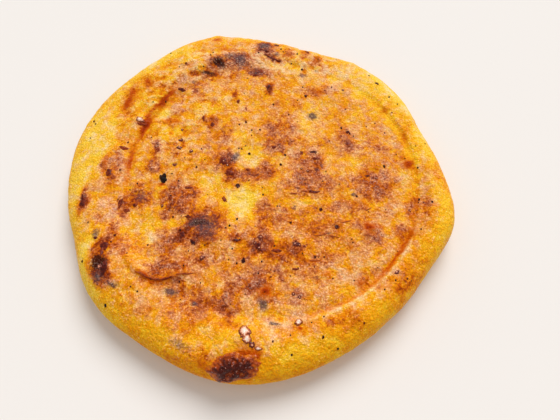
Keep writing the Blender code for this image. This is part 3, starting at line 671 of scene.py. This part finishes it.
# %% Mesh helpers
def turned_faces(rings, spokes):
    """Corner numbers of the quads between rings that wrap round, and of the two fans at the poles."""
    i, j = np.meshgrid(np.arange(rings - 1), np.arange(spokes), indexing="ij")
    after = (j + 1) % spokes
    quads = np.stack((i * spokes + j, (i + 1) * spokes + j, (i + 1) * spokes + after,
                      i * spokes + after), axis=-1).reshape(-1, 4) + 1
    spoke = np.arange(spokes)
    first = np.column_stack((np.zeros(spokes, int), spoke + 1, (spoke + 1) % spokes + 1))
    last_ring = 1 + (rings - 1) * spokes
    pole = 1 + rings * spokes
    last = np.column_stack((np.full(spokes, pole), last_ring + (spoke + 1) % spokes, last_ring + spoke))
    return quads, np.concatenate((first, last))


def flat_fields(field):
    """A grid's values as the mesh wants them: one for the first pole, the rings, one for the last."""
    return np.concatenate((field[:1].mean(axis=1), field[1:-1].reshape(-1, *field.shape[2:]),
                           field[-1:].mean(axis=1)))


def mesh_piece(name, points, faces, fields=None):
    """A shaded-smooth object in metres from points in mm round the press's centre, and its fields."""
    placed = np.asarray(points, float) + (*PRESS_CENTRE, 0.0)
    mesh = bpy.data.meshes.new(name)
    mesh.from_pydata((placed * MM).tolist(), [], [row for part in faces for row in part.tolist()])
    mesh.shade_smooth()
    for field_name, values in (fields or {}).items():
        attribute = mesh.attributes.new(field_name, "FLOAT", "POINT")
        attribute.data.foreach_set("value", np.ascontiguousarray(values, dtype=np.float32))
    mesh.update()
    piece = bpy.data.objects.new(name, mesh)
    bpy.context.scene.collection.objects.link(piece)
    return piece


def joined_grids(name, grids, fields):
    """One piece from several closed grids of the same size, each with a pole at both ends."""
    quads, fans = turned_faces(grids[0].shape[0] - 2, grids[0].shape[1])
    flat = [flat_fields(grid) for grid in grids]
    first_point = np.arange(len(grids))[:, None, None] * len(flat[0])
    faces = [(part[None] + first_point).reshape(-1, part.shape[1]) for part in (quads, fans)]
    values = {key: np.concatenate([flat_fields(grid) for grid in rows]) for key, rows in fields.items()}
    return mesh_piece(name, np.concatenate(flat), faces, values)


def dress(piece, material):
    """Gives a piece its finish and lets it stand for the bread's solid."""
    piece.data.materials.append(material)
    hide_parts("hotteok")
    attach(piece, "root")
    print(f"{piece.name}: {len(piece.data.polygons)} faces, "
          f"{len(material.node_tree.nodes)} nodes in its material")


# %% [markdown]
# ## Materials written as sums
# A material is a tree of small nodes, and a tree is hard to read. So a number that the shader works
# out is wrapped in a class whose plus, minus and times each add one maths node. A finish can then be
# written as a few sums.

# %% Node helpers
def srgb(red, green, blue):
    """A colour as seen on screen, 0 to 255, as the linear numbers that shaders use."""
    screen = np.array((red, green, blue)) / 255.0
    linear = np.where(screen <= 0.04045, screen / 12.92, ((screen + 0.055) / 1.055) ** 2.4)
    return (*linear.tolist(), 1.0)


class Value:
    """A number that a shader works out. A sum of values is one more value, with its own node."""

    def __init__(self, add, socket):
        self.add, self.socket = add, socket

    def maths(self, operation, other):
        """The value joined to another value, or to a number, by one maths node."""
        node = self.add("ShaderNodeMath", {0: self, 1: other}, operation=operation)
        return Value(self.add, node.outputs[0])

    def __add__(self, other):
        return self.maths("ADD", other)

    def __sub__(self, other):
        return self.maths("SUBTRACT", other)

    def __mul__(self, other):
        return self.maths("MULTIPLY", other)

    def remap(self, from_low, from_high, to_low=0.0, to_high=1.0):
        """The value carried from one span to another and held inside it."""
        node = self.add("ShaderNodeMapRange", {"Value": self, "From Min": from_low, "To Min": to_low,
                                               "From Max": from_high, "To Max": to_high})
        return Value(self.add, node.outputs[0])

    def ramp(self, *stops):
        """The colour at the value's place on a ramp of (place, screen colour) stops."""
        node = self.add("ShaderNodeValToRGB", {"Fac": self})
        elements = node.color_ramp.elements
        while len(elements) < len(stops):
            elements.new(0.5)
        for element, (place, colour) in zip(elements, stops):
            element.position, element.color = place, srgb(*colour)
        return node.outputs["Color"]

    def mix(self, first, second):
        """The first colour where the value is 0, and the second, a colour or socket, where it is 1."""
        second = srgb(*second) if isinstance(second, tuple) else second
        return self.add("ShaderNodeMix", {0: self, 6: first, 7: second}, data_type="RGBA").outputs[2]


def new_material(name):
    """Two functions: one adds a wired node, one wires the shader and gives back the material."""
    material = bpy.data.materials.new(name)
    material.use_nodes = True
    tree = material.node_tree

    def wire(node, inputs):
        for key, value in inputs.items():
            value = getattr(value, "socket", value)
            if isinstance(value, bpy.types.NodeSocket):
                tree.links.new(value, node.inputs[key])
            else:
                node.inputs[key].default_value = value
        return node

    def add(kind, inputs, **settings):
        node = tree.nodes.new(kind)
        for key, value in settings.items():
            setattr(node, key, value)
        return wire(node, inputs)

    def finish(**inputs):
        named = {key.replace("_", " "): value for key, value in inputs.items()}
        wire(tree.nodes["Principled BSDF"], named)
        return material

    return add, finish


def noise(add, size_mm, detail=3.0, roughness=0.55, distortion=0.0):
    """Noise in Object coordinates whose blotches are about size_mm across."""
    place = add("ShaderNodeTexCoord", {}).outputs["Object"]
    node = add("ShaderNodeTexNoise", {"Vector": place, "Scale": 1.0 / (size_mm * MM), "Detail": detail,
                                      "Roughness": roughness, "Distortion": distortion})
    return Value(add, node.outputs["Fac"])


def white_net(add, cell_mm, half_width):
    """1 on the borders between random cells, 0 inside them."""
    place = add("ShaderNodeTexCoord", {}).outputs["Object"]
    cells = add("ShaderNodeTexVoronoi", {"Vector": place, "Scale": 1.0 / (cell_mm * MM)},
                feature="DISTANCE_TO_EDGE")
    return Value(add, cells.outputs["Distance"]).remap(half_width, 0.0)


def field(add, name):
    """A field kept on the piece's points."""
    node = add("ShaderNodeAttribute", {}, attribute_name=name, attribute_type="GEOMETRY")
    return Value(add, node.outputs["Fac"])


def bumped(add, height, strength, distance_mm):
    """A normal that leans as if the surface had that height."""
    return add("ShaderNodeBump", {"Height": height, "Strength": strength,
                                  "Distance": distance_mm * MM}).outputs["Normal"]


# %% [markdown]
# ## The finish of fried dough
# Fried dough is a yellow, slightly translucent crumb under a thin oily crust. Its colour is a ramp
# from raw yellow over gold and orange to brown. The browning field chooses the place on the ramp,
# after three scales of noise in Object coordinates have broken it up. There are two ramps, a clean
# one and a dull one, and the veil chooses between them. Dark grains, ash, scorch, pale painted
# glints, caramel and a white net of painted glints are mixed in last. A ramp is used rather than a
# picture, so that the finish holds from every side.

# %% The fried dough material
CLEAN_RAMP = (
    (0.00, (255, 208, 60)), (0.16, (253, 189, 30)), (0.32, (245, 161, 10)), (0.48, (229, 131, 5)),
    (0.64, (197, 92, 4)), (0.80, (146, 51, 4)), (1.00, (84, 22, 0)),
)
DULL_RAMP = (
    (0.00, (255, 222, 164)), (0.16, (252, 203, 140)), (0.32, (241, 175, 114)), (0.48, (223, 145, 92)),
    (0.64, (187, 105, 66)), (0.80, (144, 66, 38)), (1.00, (88, 32, 14)),
)
SUGAR_RAMP = ((0.30, (226, 116, 2)), (0.70, (192, 74, 1)), (1.00, (150, 42, 1)))
DARK_GRAIN, ASH_GREY, SCORCH_BLACK = (118, 40, 10), (86, 68, 74), (52, 14, 4)
# Painted highlights: pale glint specks and a white net of glints.
PAINTED_GLINT, PAINTED_GLINT_NET = (255, 226, 196), (250, 206, 180)


def dough_material():
    """Ramps of browning, then grains, ash, scorch, painted glints, caramel and a painted net of glints,
    under a thin film of oil.
    """
    add, finish = new_material("fried_dough")
    browning, ash, caramel = (field(add, name) for name in ("browning", "ash", "caramel"))
    grain, fine = noise(add, 0.8, 2.0, 0.6), noise(add, 0.5, 2.0, 0.6)
    middle = (noise(add, 1.8, 2.0, 0.6, 0.8) - 0.5) * 0.8
    broad = (noise(add, 4.5, 2.0, 0.5, 1.0) - 0.5) * 0.6
    speckle = broad + middle + (grain - 0.5) * 0.6
    toast = browning + speckle * browning.remap(0.1, 0.5, 0.35, 0.90)
    veil = field(add, "veil") + (noise(add, 3.6, 3.0, 0.6, 0.6) - 0.5) * 3.8
    colour = veil.remap(0.0, 1.0).mix(toast.ramp(*CLEAN_RAMP), toast.ramp(*DULL_RAMP))

    colour = (grain + toast * 0.60).remap(1.00, 1.12, 0.0, 0.50).mix(colour, DARK_GRAIN)
    colour = (ash + (grain - 0.5) * 0.8).remap(0.2, 0.8, 0.0, 0.85).mix(colour, ASH_GREY)
    burnt = field(add, "scorch") + (grain - 0.5) * 1.0
    colour = burnt.remap(0.25, 0.75, 0.0, 0.92).mix(colour, SCORCH_BLACK)
    # Pale specks: painted glints, fewer where the crust is brown.
    pale = fine + veil * 0.10 - toast * 0.16
    colour = pale.remap(0.52, 0.68, 0.0, 0.36).mix(colour, PAINTED_GLINT)
    shade = fine.remap(0.30, 0.70, 0.81, 1.20)
    colour = add("ShaderNodeHueSaturation", {"Color": colour, "Value": shade}).outputs["Color"]
    sugar = caramel + (grain - 0.5) * 0.5
    colour = sugar.remap(0.05, 0.60).mix(colour, sugar.ramp(*SUGAR_RAMP))
    # A white net on dry places: painted glints.
    net = white_net(add, 1.25, 0.12) * noise(add, 1.8).remap(0.45, 0.60) * field(add, "dry")
    colour = (net * 0.5).mix(colour, PAINTED_GLINT_NET)

    oil = noise(add, 3.5).remap(0.35, 0.65, 0.18, 0.40) - caramel * 0.12 + ash * 0.25
    wet = noise(add, 1.3, 2.0) + grain * 0.6
    return finish(
        Base_Color=colour, Roughness=oil, Specular_IOR_Level=0.02, Coat_Weight=0.06, Coat_Roughness=0.12,
        Subsurface_Weight=0.08, Subsurface_Radius=(1.0, 0.40, 0.08), Subsurface_Scale=1.2 * MM,
        Normal=bumped(add, middle * 0.8 + grain, 0.9, 0.65), Coat_Normal=bumped(add, wet, 1.0, 1.3))


dough = joined_grids("fried_dough", [SKIN], {key: [value] for key, value in HEAT.items()})
dress(dough, dough_material())

# %% [markdown]
# ## Things that sit on the skin
# Syrup, bubbles, scabs and crumbs lie on the crust, so they need the place of the dressed skin and
# its outward direction at any bearing and run. Both come from the functions that made the skin: the
# direction is the cross product of two small steps, one along the line and one round the press. A
# blob is then a lens: round paths that rise out of the skin and close again a little under it.

# %% Place, direction and lens on the skin
TO_EQUATOR = int(np.argmax(LINE_RADIUS)) + 1
RUN_STEP, BEARING_STEP = 0.2, 0.3
LEAST_RADIUS, LAYER_GAP = 4.0, 40.0


def skin_run(x, y):
    """Bearing and run of the skin's point above a place on the face or the upper rim."""
    bearing, radius = np.degrees(np.arctan2(y, x)), np.hypot(x, y)
    past_press = (radius - PRESS_RADIUS) / rim_stretch(bearing)
    radius = np.where(radius > PRESS_RADIUS, PRESS_RADIUS + past_press, radius)
    return bearing, np.interp(radius, LINE_RADIUS[:TO_EQUATOR], LINE_RUN[:TO_EQUATOR])


def skin_frame(bearing, run):
    """Point of the dressed skin and its outward normal, from two small steps on the form."""
    along = dough_shape(bearing, run + RUN_STEP) - dough_shape(bearing, run - RUN_STEP)
    around = dough_shape(bearing + BEARING_STEP, run) - dough_shape(bearing - BEARING_STEP, run)
    normal = np.cross(along, around)
    normal /= np.linalg.norm(normal, axis=-1, keepdims=True)
    form = dough_shape(bearing, run)
    return dressed_skin(form, normal, bearing, heat_fields(form)), normal


def lenses(rows, sink, rings, spokes, ragged, seed, corners=2.0):
    """One closed lens for each row (x, y, two half sizes, turn, height), from its top downwards.

    A circle's path is squared by the corners exponent and made ragged by noise, then laid on the
    skin in bearings and runs. The lift over the skin is height (or sink) times cos(rise). Gives the
    skin's points, its normals, the lift, and the reach from 0 at the top to 1 at the skin.
    """
    x, y, half_x, half_y, turn, height = np.array(rows, float).T[:, :, None, None]
    rise, around = np.meshgrid(np.linspace(0.0, np.pi, rings), np.linspace(0, 2 * np.pi, spokes, False),
                               indexing="ij")
    cosine, sine = np.cos(around), np.sin(around)
    layer = LAYER_GAP * np.arange(len(rows))[:, None, None]
    circle = np.stack(np.broadcast_arrays(3 * cosine[None], 3 * sine[None], layer), -1)
    square = (np.abs(cosine)**corners + np.abs(sine)**corners) ** (-1.0 / corners)
    reach = np.sin(rise) * square * (1.0 + ragged * layered_noise(circle, 1.3, 2, seed))
    u, v = reach * half_x * cosine, reach * half_y * sine
    along, across = np.cos(np.radians(turn)), np.sin(np.radians(turn))
    dx, dy = u * along - v * across, u * across + v * along
    bearing, run = skin_run(x, y)
    out_x, out_y = np.cos(np.radians(bearing)), np.sin(np.radians(bearing))
    turned = np.degrees((dy * out_x - dx * out_y) / np.maximum(np.hypot(x, y), LEAST_RADIUS))
    base, normal = skin_frame(bearing + turned, run + dx * out_x + dy * out_y)
    lift = np.where(rise < np.pi / 2, height, sink) * np.cos(rise)
    return base, normal, lift, np.broadcast_to(np.sin(rise), lift.shape)


# %% [markdown]
# ## Burnt syrup at the front edge
# The filling boiled out through the rim and burnt on it: a thick, dark red, glassy mass with lumps
# and pits, hanging down the edge a little. It could be poured by a fluid simulation, but its form is
# known, so it is one lens whose height is broken up by ridged noise. It is laid in the bread's own
# bearings and runs, which lets it bend over the rim.

# %% The syrup
SYRUP = (-9.9, -62.6, 7.5, 3.9, 4, 1.25)
SYRUP_HEIGHT, SYRUP_SINK, SYRUP_CORNERS = SYRUP[-1], 0.6, 3.0


def syrup_grid():
    """The lens, lumped by ridged noise, and its thickness as a share of the full height."""
    parts = lenses([SYRUP], SYRUP_SINK, 90, 190, 0.16, 310, SYRUP_CORNERS)
    base, normal, lift, reach = (part[0] for part in parts)
    ridged = 1.0 - 1.6 * np.abs(layered_noise(base, 2.2, 3, 320))
    lumps = 0.75 + 0.60 * ridged + 0.35 * smooth_noise(base, 0.9, 330)
    lift = np.where(lift > 0, lift * np.sqrt(1.0 - reach**2 * 0.9) * np.clip(lumps, 0.2, 1.4), lift)
    return base + lift[..., None] * normal, np.clip(lift / SYRUP_HEIGHT, 0.0, 1.2)


def syrup_material():
    """Dark red glass over black, redder where it is thin, with small pits and painted pale glints."""
    add, finish = new_material("burst_syrup")
    depth = field(add, "depth") + (noise(add, 1.2, 3.0) - 0.5) * 1.9
    colour = depth.ramp(
        (0.00, (218, 116, 8)), (0.30, (180, 76, 6)), (0.60, (136, 46, 2)), (0.95, (74, 14, 0)))
    # Pale pink specks: painted glints.
    colour = noise(add, 0.7, 2.0).remap(0.65, 0.71, 0.0, 0.85).mix(colour, (214, 150, 130))
    return finish(
        Base_Color=colour, Roughness=noise(add, 1.8).remap(0.35, 0.65, 0.06, 0.20),
        Specular_IOR_Level=0.12, Coat_Weight=0.18, Coat_Roughness=0.05,
        Normal=bumped(add, noise(add, 0.8, 3.0), 1.0, 0.6))


syrup_skin, syrup_depth = syrup_grid()
syrup = joined_grids("burst_syrup", [syrup_skin], {"depth": [syrup_depth]})
dress(syrup, syrup_material())

# %% [markdown]
# ## Oil bubbles
# Frying leaves blown bubbles: thin clear skins with a dark caramel ring. Their bright top is a
# painted highlight. The largest sit beside the syrup, where the steam got out. Each is a small lens
# on the skin, and all are one piece. A field that runs from the top to the ring carries the colour.

# %% The bubbles
# Place from the press's centre, two half sizes, turn in degrees, height.
BUBBLES = places(
    (-7.4, -52.9, 1.8, 1.8, 15, 0.5), (-6.5, -54.9, 1.3, 1.3, 35, 0.5), (-5, -56.4, 0.9, 0.8, 0.4),
    (-3.2, -57.3, 1.2, 0.5, -20, 0.4), (8.2, -49.7, 1.15, 1.1, 0.6), (-32, 10.1, 0.95, 0.9, 0.4),
    (-32, 13.9, 0.8, 0.6, 0.3), (-27.8, 8.7, 0.7, 0.65, 0.3), (-32, 18.3, 0.55, 0.5, 0.3),
    (-47.3, 22, 1.2, 1.1, 0.5), (-21.3, -30, 0.75, 0.7, 0.4), (38.2, -35, 0.9, 0.7, 0.4),
    (7.4, -25.6, 0.6, 0.55, 0.35), (8.9, -26.1, 0.5, 0.3), (-3.2, -23.3, 0.6, 0.3),
    (-5.1, -25.4, 0.55, 0.5, 0.3), (-3.7, -26.9, 0.6, 0.5, 0.3), (-16.3, 4.4, 0.6, 0.55, 0.3),
    (-15, 3, 0.5, 0.3), (12.2, 0.6, 0.55, 0.5, 0.3), (10, 1.6, 0.45, 0.4, 0.25), (-13.6, 5.2, 0.5, 0.3),
    (-35.6, -12, 0.5, 0.25), (26.2, 36, 0.5, 0.25), (6.8, -41.4, 0.6, 0.5, 0.3),
    (8.6, -42.3, 0.6, 0.5, 0.3), (-51.6, -33.4, 0.7, 0.9, 20, 0.35), (45.2, -13.4, 0.5, 0.25),
)
SMALL_BUBBLE = 1.0


def bubble_material():
    """Painted highlight on top, caramel and then burnt red towards the ring."""
    add, finish = new_material("oil_bubbles")
    ring = field(add, "ring") + (noise(add, 0.5) - 0.5) * 0.9
    colour = ring.ramp(
        (0.10, (255, 236, 222)), (0.44, (250, 206, 176)), (0.64, (214, 120, 62)),
        (0.84, (146, 52, 16)), (1.00, (104, 32, 12)))
    return finish(
        Base_Color=colour, Roughness=noise(add, 0.9).remap(0.4, 0.6, 0.06, 0.20),
        Specular_IOR_Level=0.4, Coat_Weight=0.4, Normal=bumped(add, noise(add, 0.6, 2.0), 1.0, 0.5))


# The ring field is the reach: 0 at the top, 1 at the skin. Small bubbles are browner, with a smaller
# painted highlight.
base, normal, lift, reach = lenses(BUBBLES, 0.6, 14, 24, 0.28, 400)
bubble_rings = reach + 0.4 * (BUBBLES[:, 2, None, None] < SMALL_BUBBLE)
bubbles = joined_grids("oil_bubbles", base + lift[..., None] * normal, {"ring": bubble_rings})
dress(bubbles, bubble_material())

# %% [markdown]
# ## A burnt crumb
# One crumb of burnt sugar and dough from an earlier bread stuck to the face. It is black, rough and
# stands proud, so it is a taller lens with strong noise on its height and outline.

# %% The crumb
CRUMB = (-36.3, -1.9, 1.15, 1.75, 8, 1.0)


def crumb_grid():
    """A lens broken up by coarse noise."""
    base, normal, lift, reach = (part[0] for part in lenses([CRUMB], 0.5, 34, 60, 0.30, 500))
    lift = np.where(lift > 0, lift * (1.0 + 0.6 * layered_noise(base, 0.9, 2, 510)), lift)
    return base + lift[..., None] * normal


def crumb_material():
    """Black and dark brown grit with a dull shine."""
    add, finish = new_material("burnt_crumb")
    colour = noise(add, 0.8, 3.0).ramp((0.35, (16, 12, 12)), (0.55, (34, 22, 18)), (0.70, (92, 46, 20)))
    return finish(
        Base_Color=colour, Roughness=noise(add, 0.6).remap(0.35, 0.65, 0.25, 0.6),
        Specular_IOR_Level=0.12, Normal=bumped(add, noise(add, 0.4), 0.8, 0.2))


crumb = joined_grids("burnt_crumb", [crumb_grid()], {})
dress(crumb, crumb_material())

# %% [markdown]
# ## Scabs and creases of burnt sugar
# Where a grain of sugar sat in the dough it melted, burnt and set as a dark red scab with a sharp
# edge. In the folds it ran into thin dark lines. Paint on the skin would blur at this size, so each
# is a thin ragged lens that stands a little proud of the crust. The scorched places above give the
# scabs, and the lines have a list of their own.

# %% The scabs
# Place from the press's centre, two half sizes, turn in degrees, share of black.
SUGAR_LINES = places(
    (-38.5, -35.8, 2.4, 0.3, -32, 0.3), (-34.6, -37, 1.8, 0.36, -10, 0.45),
    (-31.2, -36.7, 2.2, 0.34, 14, 0.5), (-26, -35.3, 2.8, 0.22, 8, 0.35), (14, -7.5, 1.8, 0.36, 4, 0.6),
    (11, -7.3, 1.2, 0.25, -8, 0.4), (7.4, -8, 1.2, 0.28, -6, 0.4), (24, -18, 2, 0.18, 12, 0.25),
    (15.5, -22.6, 2.2, 0.18, 10, 0.2), (19.8, -23, 1.6, 0.16, -10, 0.2),
    (13.5, -31, 1.8, 0.18, 2, 0.25), (-1.5, 37.2, 0.45, 1.3, -15, 0.6),
    (-24.6, 22.8, 0.35, 1.2, 5, 0.5), (-21.3, 20.2, 0.5, 1, 0.5), (-51.8, -28.5, 0.45, 1.6, 10, 0.6),
    (1, 51.3, 1.8, 0.35, -25, 0.6), (-2, 52.8, 1.2, 0.3, -30, 0.5), (-9.5, 27.5, 0.25, 0.8, 10, 0.3),
    (31.5, -13.5, 1.2, 0.2, 30, 0.3),
)
LARGEST_SCAB, LEAST_SCORCH, SCAB_HEIGHT = 2.4, 0.5, 0.26


def scab_rows():
    """The scorched places that are small enough, then the lines, each with its share of black."""
    area, scorch = SCORCHED_PLACES[:, 2] * SCORCHED_PLACES[:, 3], SCORCHED_PLACES[:, 5]
    small = SCORCHED_PLACES[(area < LARGEST_SCAB) & (scorch >= LEAST_SCORCH)]
    rows = np.concatenate((small, SUGAR_LINES))
    return np.column_stack((rows[:, :5], np.full(len(rows), SCAB_HEIGHT))), rows[:, 5]


def scab_material():
    """Dark red sugar, blacker where it burnt longer."""
    add, finish = new_material("burnt_sugar")
    black = field(add, "black") + (noise(add, 0.9, 2.0) - 0.5) * 1.2
    colour = black.ramp(
        (0.15, (186, 92, 40)), (0.45, (138, 52, 24)), (0.75, (92, 28, 18)), (1.00, (54, 20, 18)))
    return finish(Base_Color=colour, Roughness=noise(add, 0.8).remap(0.35, 0.65, 0.15, 0.40),
                  Specular_IOR_Level=0.12)


rows, black = scab_rows()
base, normal, lift, reach = lenses(rows, 0.3, 10, 22, 0.38, 600)
scab_black = black[:, None, None] * (1.0 - 0.4 * reach**4)
scabs = joined_grids("burnt_sugar", base + lift[..., None] * normal, {"black": scab_black})
dress(scabs, scab_material())

# %% [markdown]
# ## Burnt specks
# Fine specks of burnt sugar and old crumb are strewn over the face. The ones that stand out have
# named places. The rest are drawn by a seeded rule that keeps more of them where the crust is
# browner. Each is a low twenty-sided lump, and all are one piece.

# %% The specks
# Place from the press's centre and radius.
NAMED_SPECKS = (
    (-9.3, 21.2, 0.55), (-11.7, 20.2, 0.40), (-7.8, 8.0, 0.45), (-10.4, 9.8, 0.32), (-11.4, 10.0, 0.28),
    (3.0, 3.4, 0.50), (-49.0, -44.5, 0.45), (-58.0, -31.0, 0.40), (12.3, 33.2, 0.50), (0.4, 29.0, 0.40),
    (-11.0, -17.0, 0.45), (-13.2, -19.3, 0.40), (38.4, -35.1, 0.30), (41.0, -37.0, 0.32),
    (15.1, -54.0, 0.50), (19.3, -57.0, 0.35), (43.2, 33.2, 0.40), (-65.0, 23.5, 0.40),
    (-64.0, 22.0, 0.32), (-64.5, 15.5, 0.30), (-40.0, 55.0, 0.40), (-49.0, -22.8, 0.50),
    (38.2, 2.8, 0.50), (28.0, -8.6, 0.45), (13.6, -29.8, 0.40), (4.6, 7.2, 0.40), (24.6, 18.8, 0.40),
    (-47.0, 22.5, 0.40), (48.5, -9.5, 0.40), (52.0, -11.4, 0.40), (11.2, 46.5, 0.50), (-25.5, 2.4, 0.45),
    (-4.2, 17.4, 0.40), (6.2, -18.4, 0.40), (-2.8, -8.0, 0.35), (20.0, 13.0, 0.30), (0.8, -55.4, 0.30),
    (27.0, -50.0, 0.35), (46.0, 30.0, 0.30), (-58.5, -18.0, 0.30), (3.2, 56.4, 0.40), (9.5, 54.0, 0.35),
)
DRAWN_SPECKS, SMALLEST_SPECK, LARGEST_SPECK = 900, 0.16, 0.34
LEAST_KEPT, KEPT_BY_BROWN = 0.06, 1.1
SPECKLED_RADIUS, UNEVENNESS, SPECK_SHAPE = 60.0, 0.30, (1.0, 1.25, 0.75)
GOLDEN = (1.0 + 5.0**0.5) / 2.0


def speck_rows():
    """Named specks, then drawn ones kept with a chance that grows with the browning."""
    draw = np.random.default_rng(21)
    radius = SPECKLED_RADIUS * np.sqrt(draw.uniform(0, 1, DRAWN_SPECKS))
    angle = draw.uniform(0, 2 * np.pi, DRAWN_SPECKS)
    x, y = radius * np.cos(angle), radius * np.sin(angle)
    size = draw.uniform(SMALLEST_SPECK, LARGEST_SPECK, DRAWN_SPECKS)
    chance = LEAST_KEPT + KEPT_BY_BROWN * patches(x, y, BROWN_PLACES)
    kept = draw.uniform(0, 1, DRAWN_SPECKS) < chance
    return np.concatenate((NAMED_SPECKS, np.column_stack((x, y, size))[kept]))


def twenty_sided():
    """Corners and faces of a regular icosahedron of radius 1."""
    a, b = 1.0 / math.hypot(1.0, GOLDEN), GOLDEN / math.hypot(1.0, GOLDEN)
    upright = np.array([(-a, b, 0), (a, b, 0), (-a, -b, 0), (a, -b, 0)])
    corners = np.concatenate([np.roll(upright, k, axis=1) for k in range(3)])
    faces = np.array([(0, 11, 5), (0, 5, 1), (0, 1, 7), (0, 7, 10), (0, 10, 11), (1, 5, 9), (5, 11, 4),
                      (11, 10, 2), (10, 7, 6), (7, 1, 8), (3, 9, 4), (3, 4, 2), (3, 2, 6), (3, 6, 8),
                      (3, 8, 9), (4, 9, 5), (2, 4, 11), (6, 2, 10), (8, 6, 7), (9, 8, 1)])
    return corners, faces


def speck_points(rows):
    """Corners of every speck: an icosahedron, uneven, flattened and half sunk in the skin."""
    corners, faces = twenty_sided()
    x, y, size = rows.T
    base, normal = skin_frame(*skin_run(x, y))
    across = np.cross(normal, (0.0, 1.0, 0.0))
    across /= np.linalg.norm(across, axis=-1, keepdims=True)
    other = np.cross(normal, across)
    uneven = 1.0 + UNEVENNESS * np.random.default_rng(22).uniform(-1, 1, (len(rows), len(corners), 1))
    local = corners[None] * uneven * size[:, None, None] * SPECK_SHAPE
    points = base[:, None] + (local[..., :1] * across[:, None] + local[..., 1:2] * other[:, None]
                              + local[..., 2:] * normal[:, None])
    first_corner = np.arange(len(rows))[:, None, None] * len(corners)
    return points.reshape(-1, 3), (faces[None] + first_corner).reshape(-1, 3)


def speck_material():
    """Dark red-brown to black, each speck in its own shade."""
    add, finish = new_material("burnt_specks")
    colour = noise(add, 1.6, 2.0).ramp((0.30, (24, 14, 12)), (0.50, (64, 24, 14)), (0.65, (112, 42, 16)))
    return finish(Base_Color=colour, Roughness=noise(add, 0.8).remap(0.35, 0.65, 0.25, 0.55),
                  Specular_IOR_Level=0.12)


speck_corners, speck_faces = speck_points(speck_rows())
specks = mesh_piece("burnt_specks", speck_corners, [speck_faces])
dress(specks, speck_material())

# %% [markdown]
# ## Studio: floor, light and camera
# A pale plain floor, one broad soft sun from behind and to the right and a bright surround give the
# high-key look of a menu picture. A sun lights the floor evenly from side to side, which a soft box
# close by would not. The camera looks down at 64 degrees from close by, so the near edge is seen
# almost from straight above.

# %% Floor, light and camera
FLOOR_SIDE, FLOOR_COLOUR = 3.0, (0.885, 0.843, 0.805, 1.0)
SUN_PLACE, SUN_STRENGTH, SUN_SPREAD = (0.26, 0.80, 0.88), 2.35, 36.0
SURROUND_COLOUR, SURROUND_STRENGTH = (1.0, 0.985, 0.97, 1.0), 0.50
CAMERA_FROM_PRESS = (2.81, -77.99, 131.97)
CAMERA_DOWN, CAMERA_LENS, SENSOR_WIDTH = 64.0, 29.12, 36.0
FACE_MIDDLE_HEIGHT = FACE_HEIGHT + 0.5


def make_floor():
    """One square at the height of the bread's underside, in a pale matt finish."""
    half = 0.5 * FLOOR_SIDE
    mesh = bpy.data.meshes.new("studio_floor")
    mesh.from_pydata([(-half, -half, 0), (half, -half, 0), (half, half, 0), (-half, half, 0)], [],
                     [(0, 1, 2, 3)])
    floor = bpy.data.objects.new("studio_floor", mesh)
    bpy.context.scene.collection.objects.link(floor)
    _, finish = new_material("studio_floor")
    matt = finish(Base_Color=FLOOR_COLOUR, Roughness=0.8, Specular_IOR_Level=0.2)
    floor.data.materials.append(matt)


def add_sun(name, place, strength, spread):
    """A sun that shines from a place towards the origin, as wide in the sky as its spread."""
    lamp = bpy.data.lights.new(name, "SUN")
    lamp.energy, lamp.angle = strength, math.radians(spread)
    sun = bpy.data.objects.new(name, lamp)
    bpy.context.scene.collection.objects.link(sun)
    x, y, z = place
    sun.location = place
    sun.rotation_euler = (math.atan2(math.hypot(x, y), z), 0.0, math.atan2(x, -y))


make_floor()
add_sun("back_sun", SUN_PLACE, SUN_STRENGTH, SUN_SPREAD)

scene = bpy.context.scene
scene.world = scene.world or bpy.data.worlds.new("studio")
scene.world.use_nodes = True
surround = scene.world.node_tree.nodes["Background"]
surround.inputs["Color"].default_value = SURROUND_COLOUR
surround.inputs["Strength"].default_value = SURROUND_STRENGTH

camera = bpy.data.objects.new("camera", bpy.data.cameras.new("camera"))
scene.collection.objects.link(camera)
camera.location = (np.array((*PRESS_CENTRE, FACE_MIDDLE_HEIGHT)) + CAMERA_FROM_PRESS) * MM
camera.rotation_euler = (math.radians(90.0 - CAMERA_DOWN), 0.0, 0.0)
camera.data.lens, camera.data.sensor_width = CAMERA_LENS, SENSOR_WIDTH
camera.data.clip_start = 0.01
scene.camera = camera
scene.view_settings.view_transform = "Standard"
print("camera, mm:", np.round(np.array(camera.location) / MM, 1))
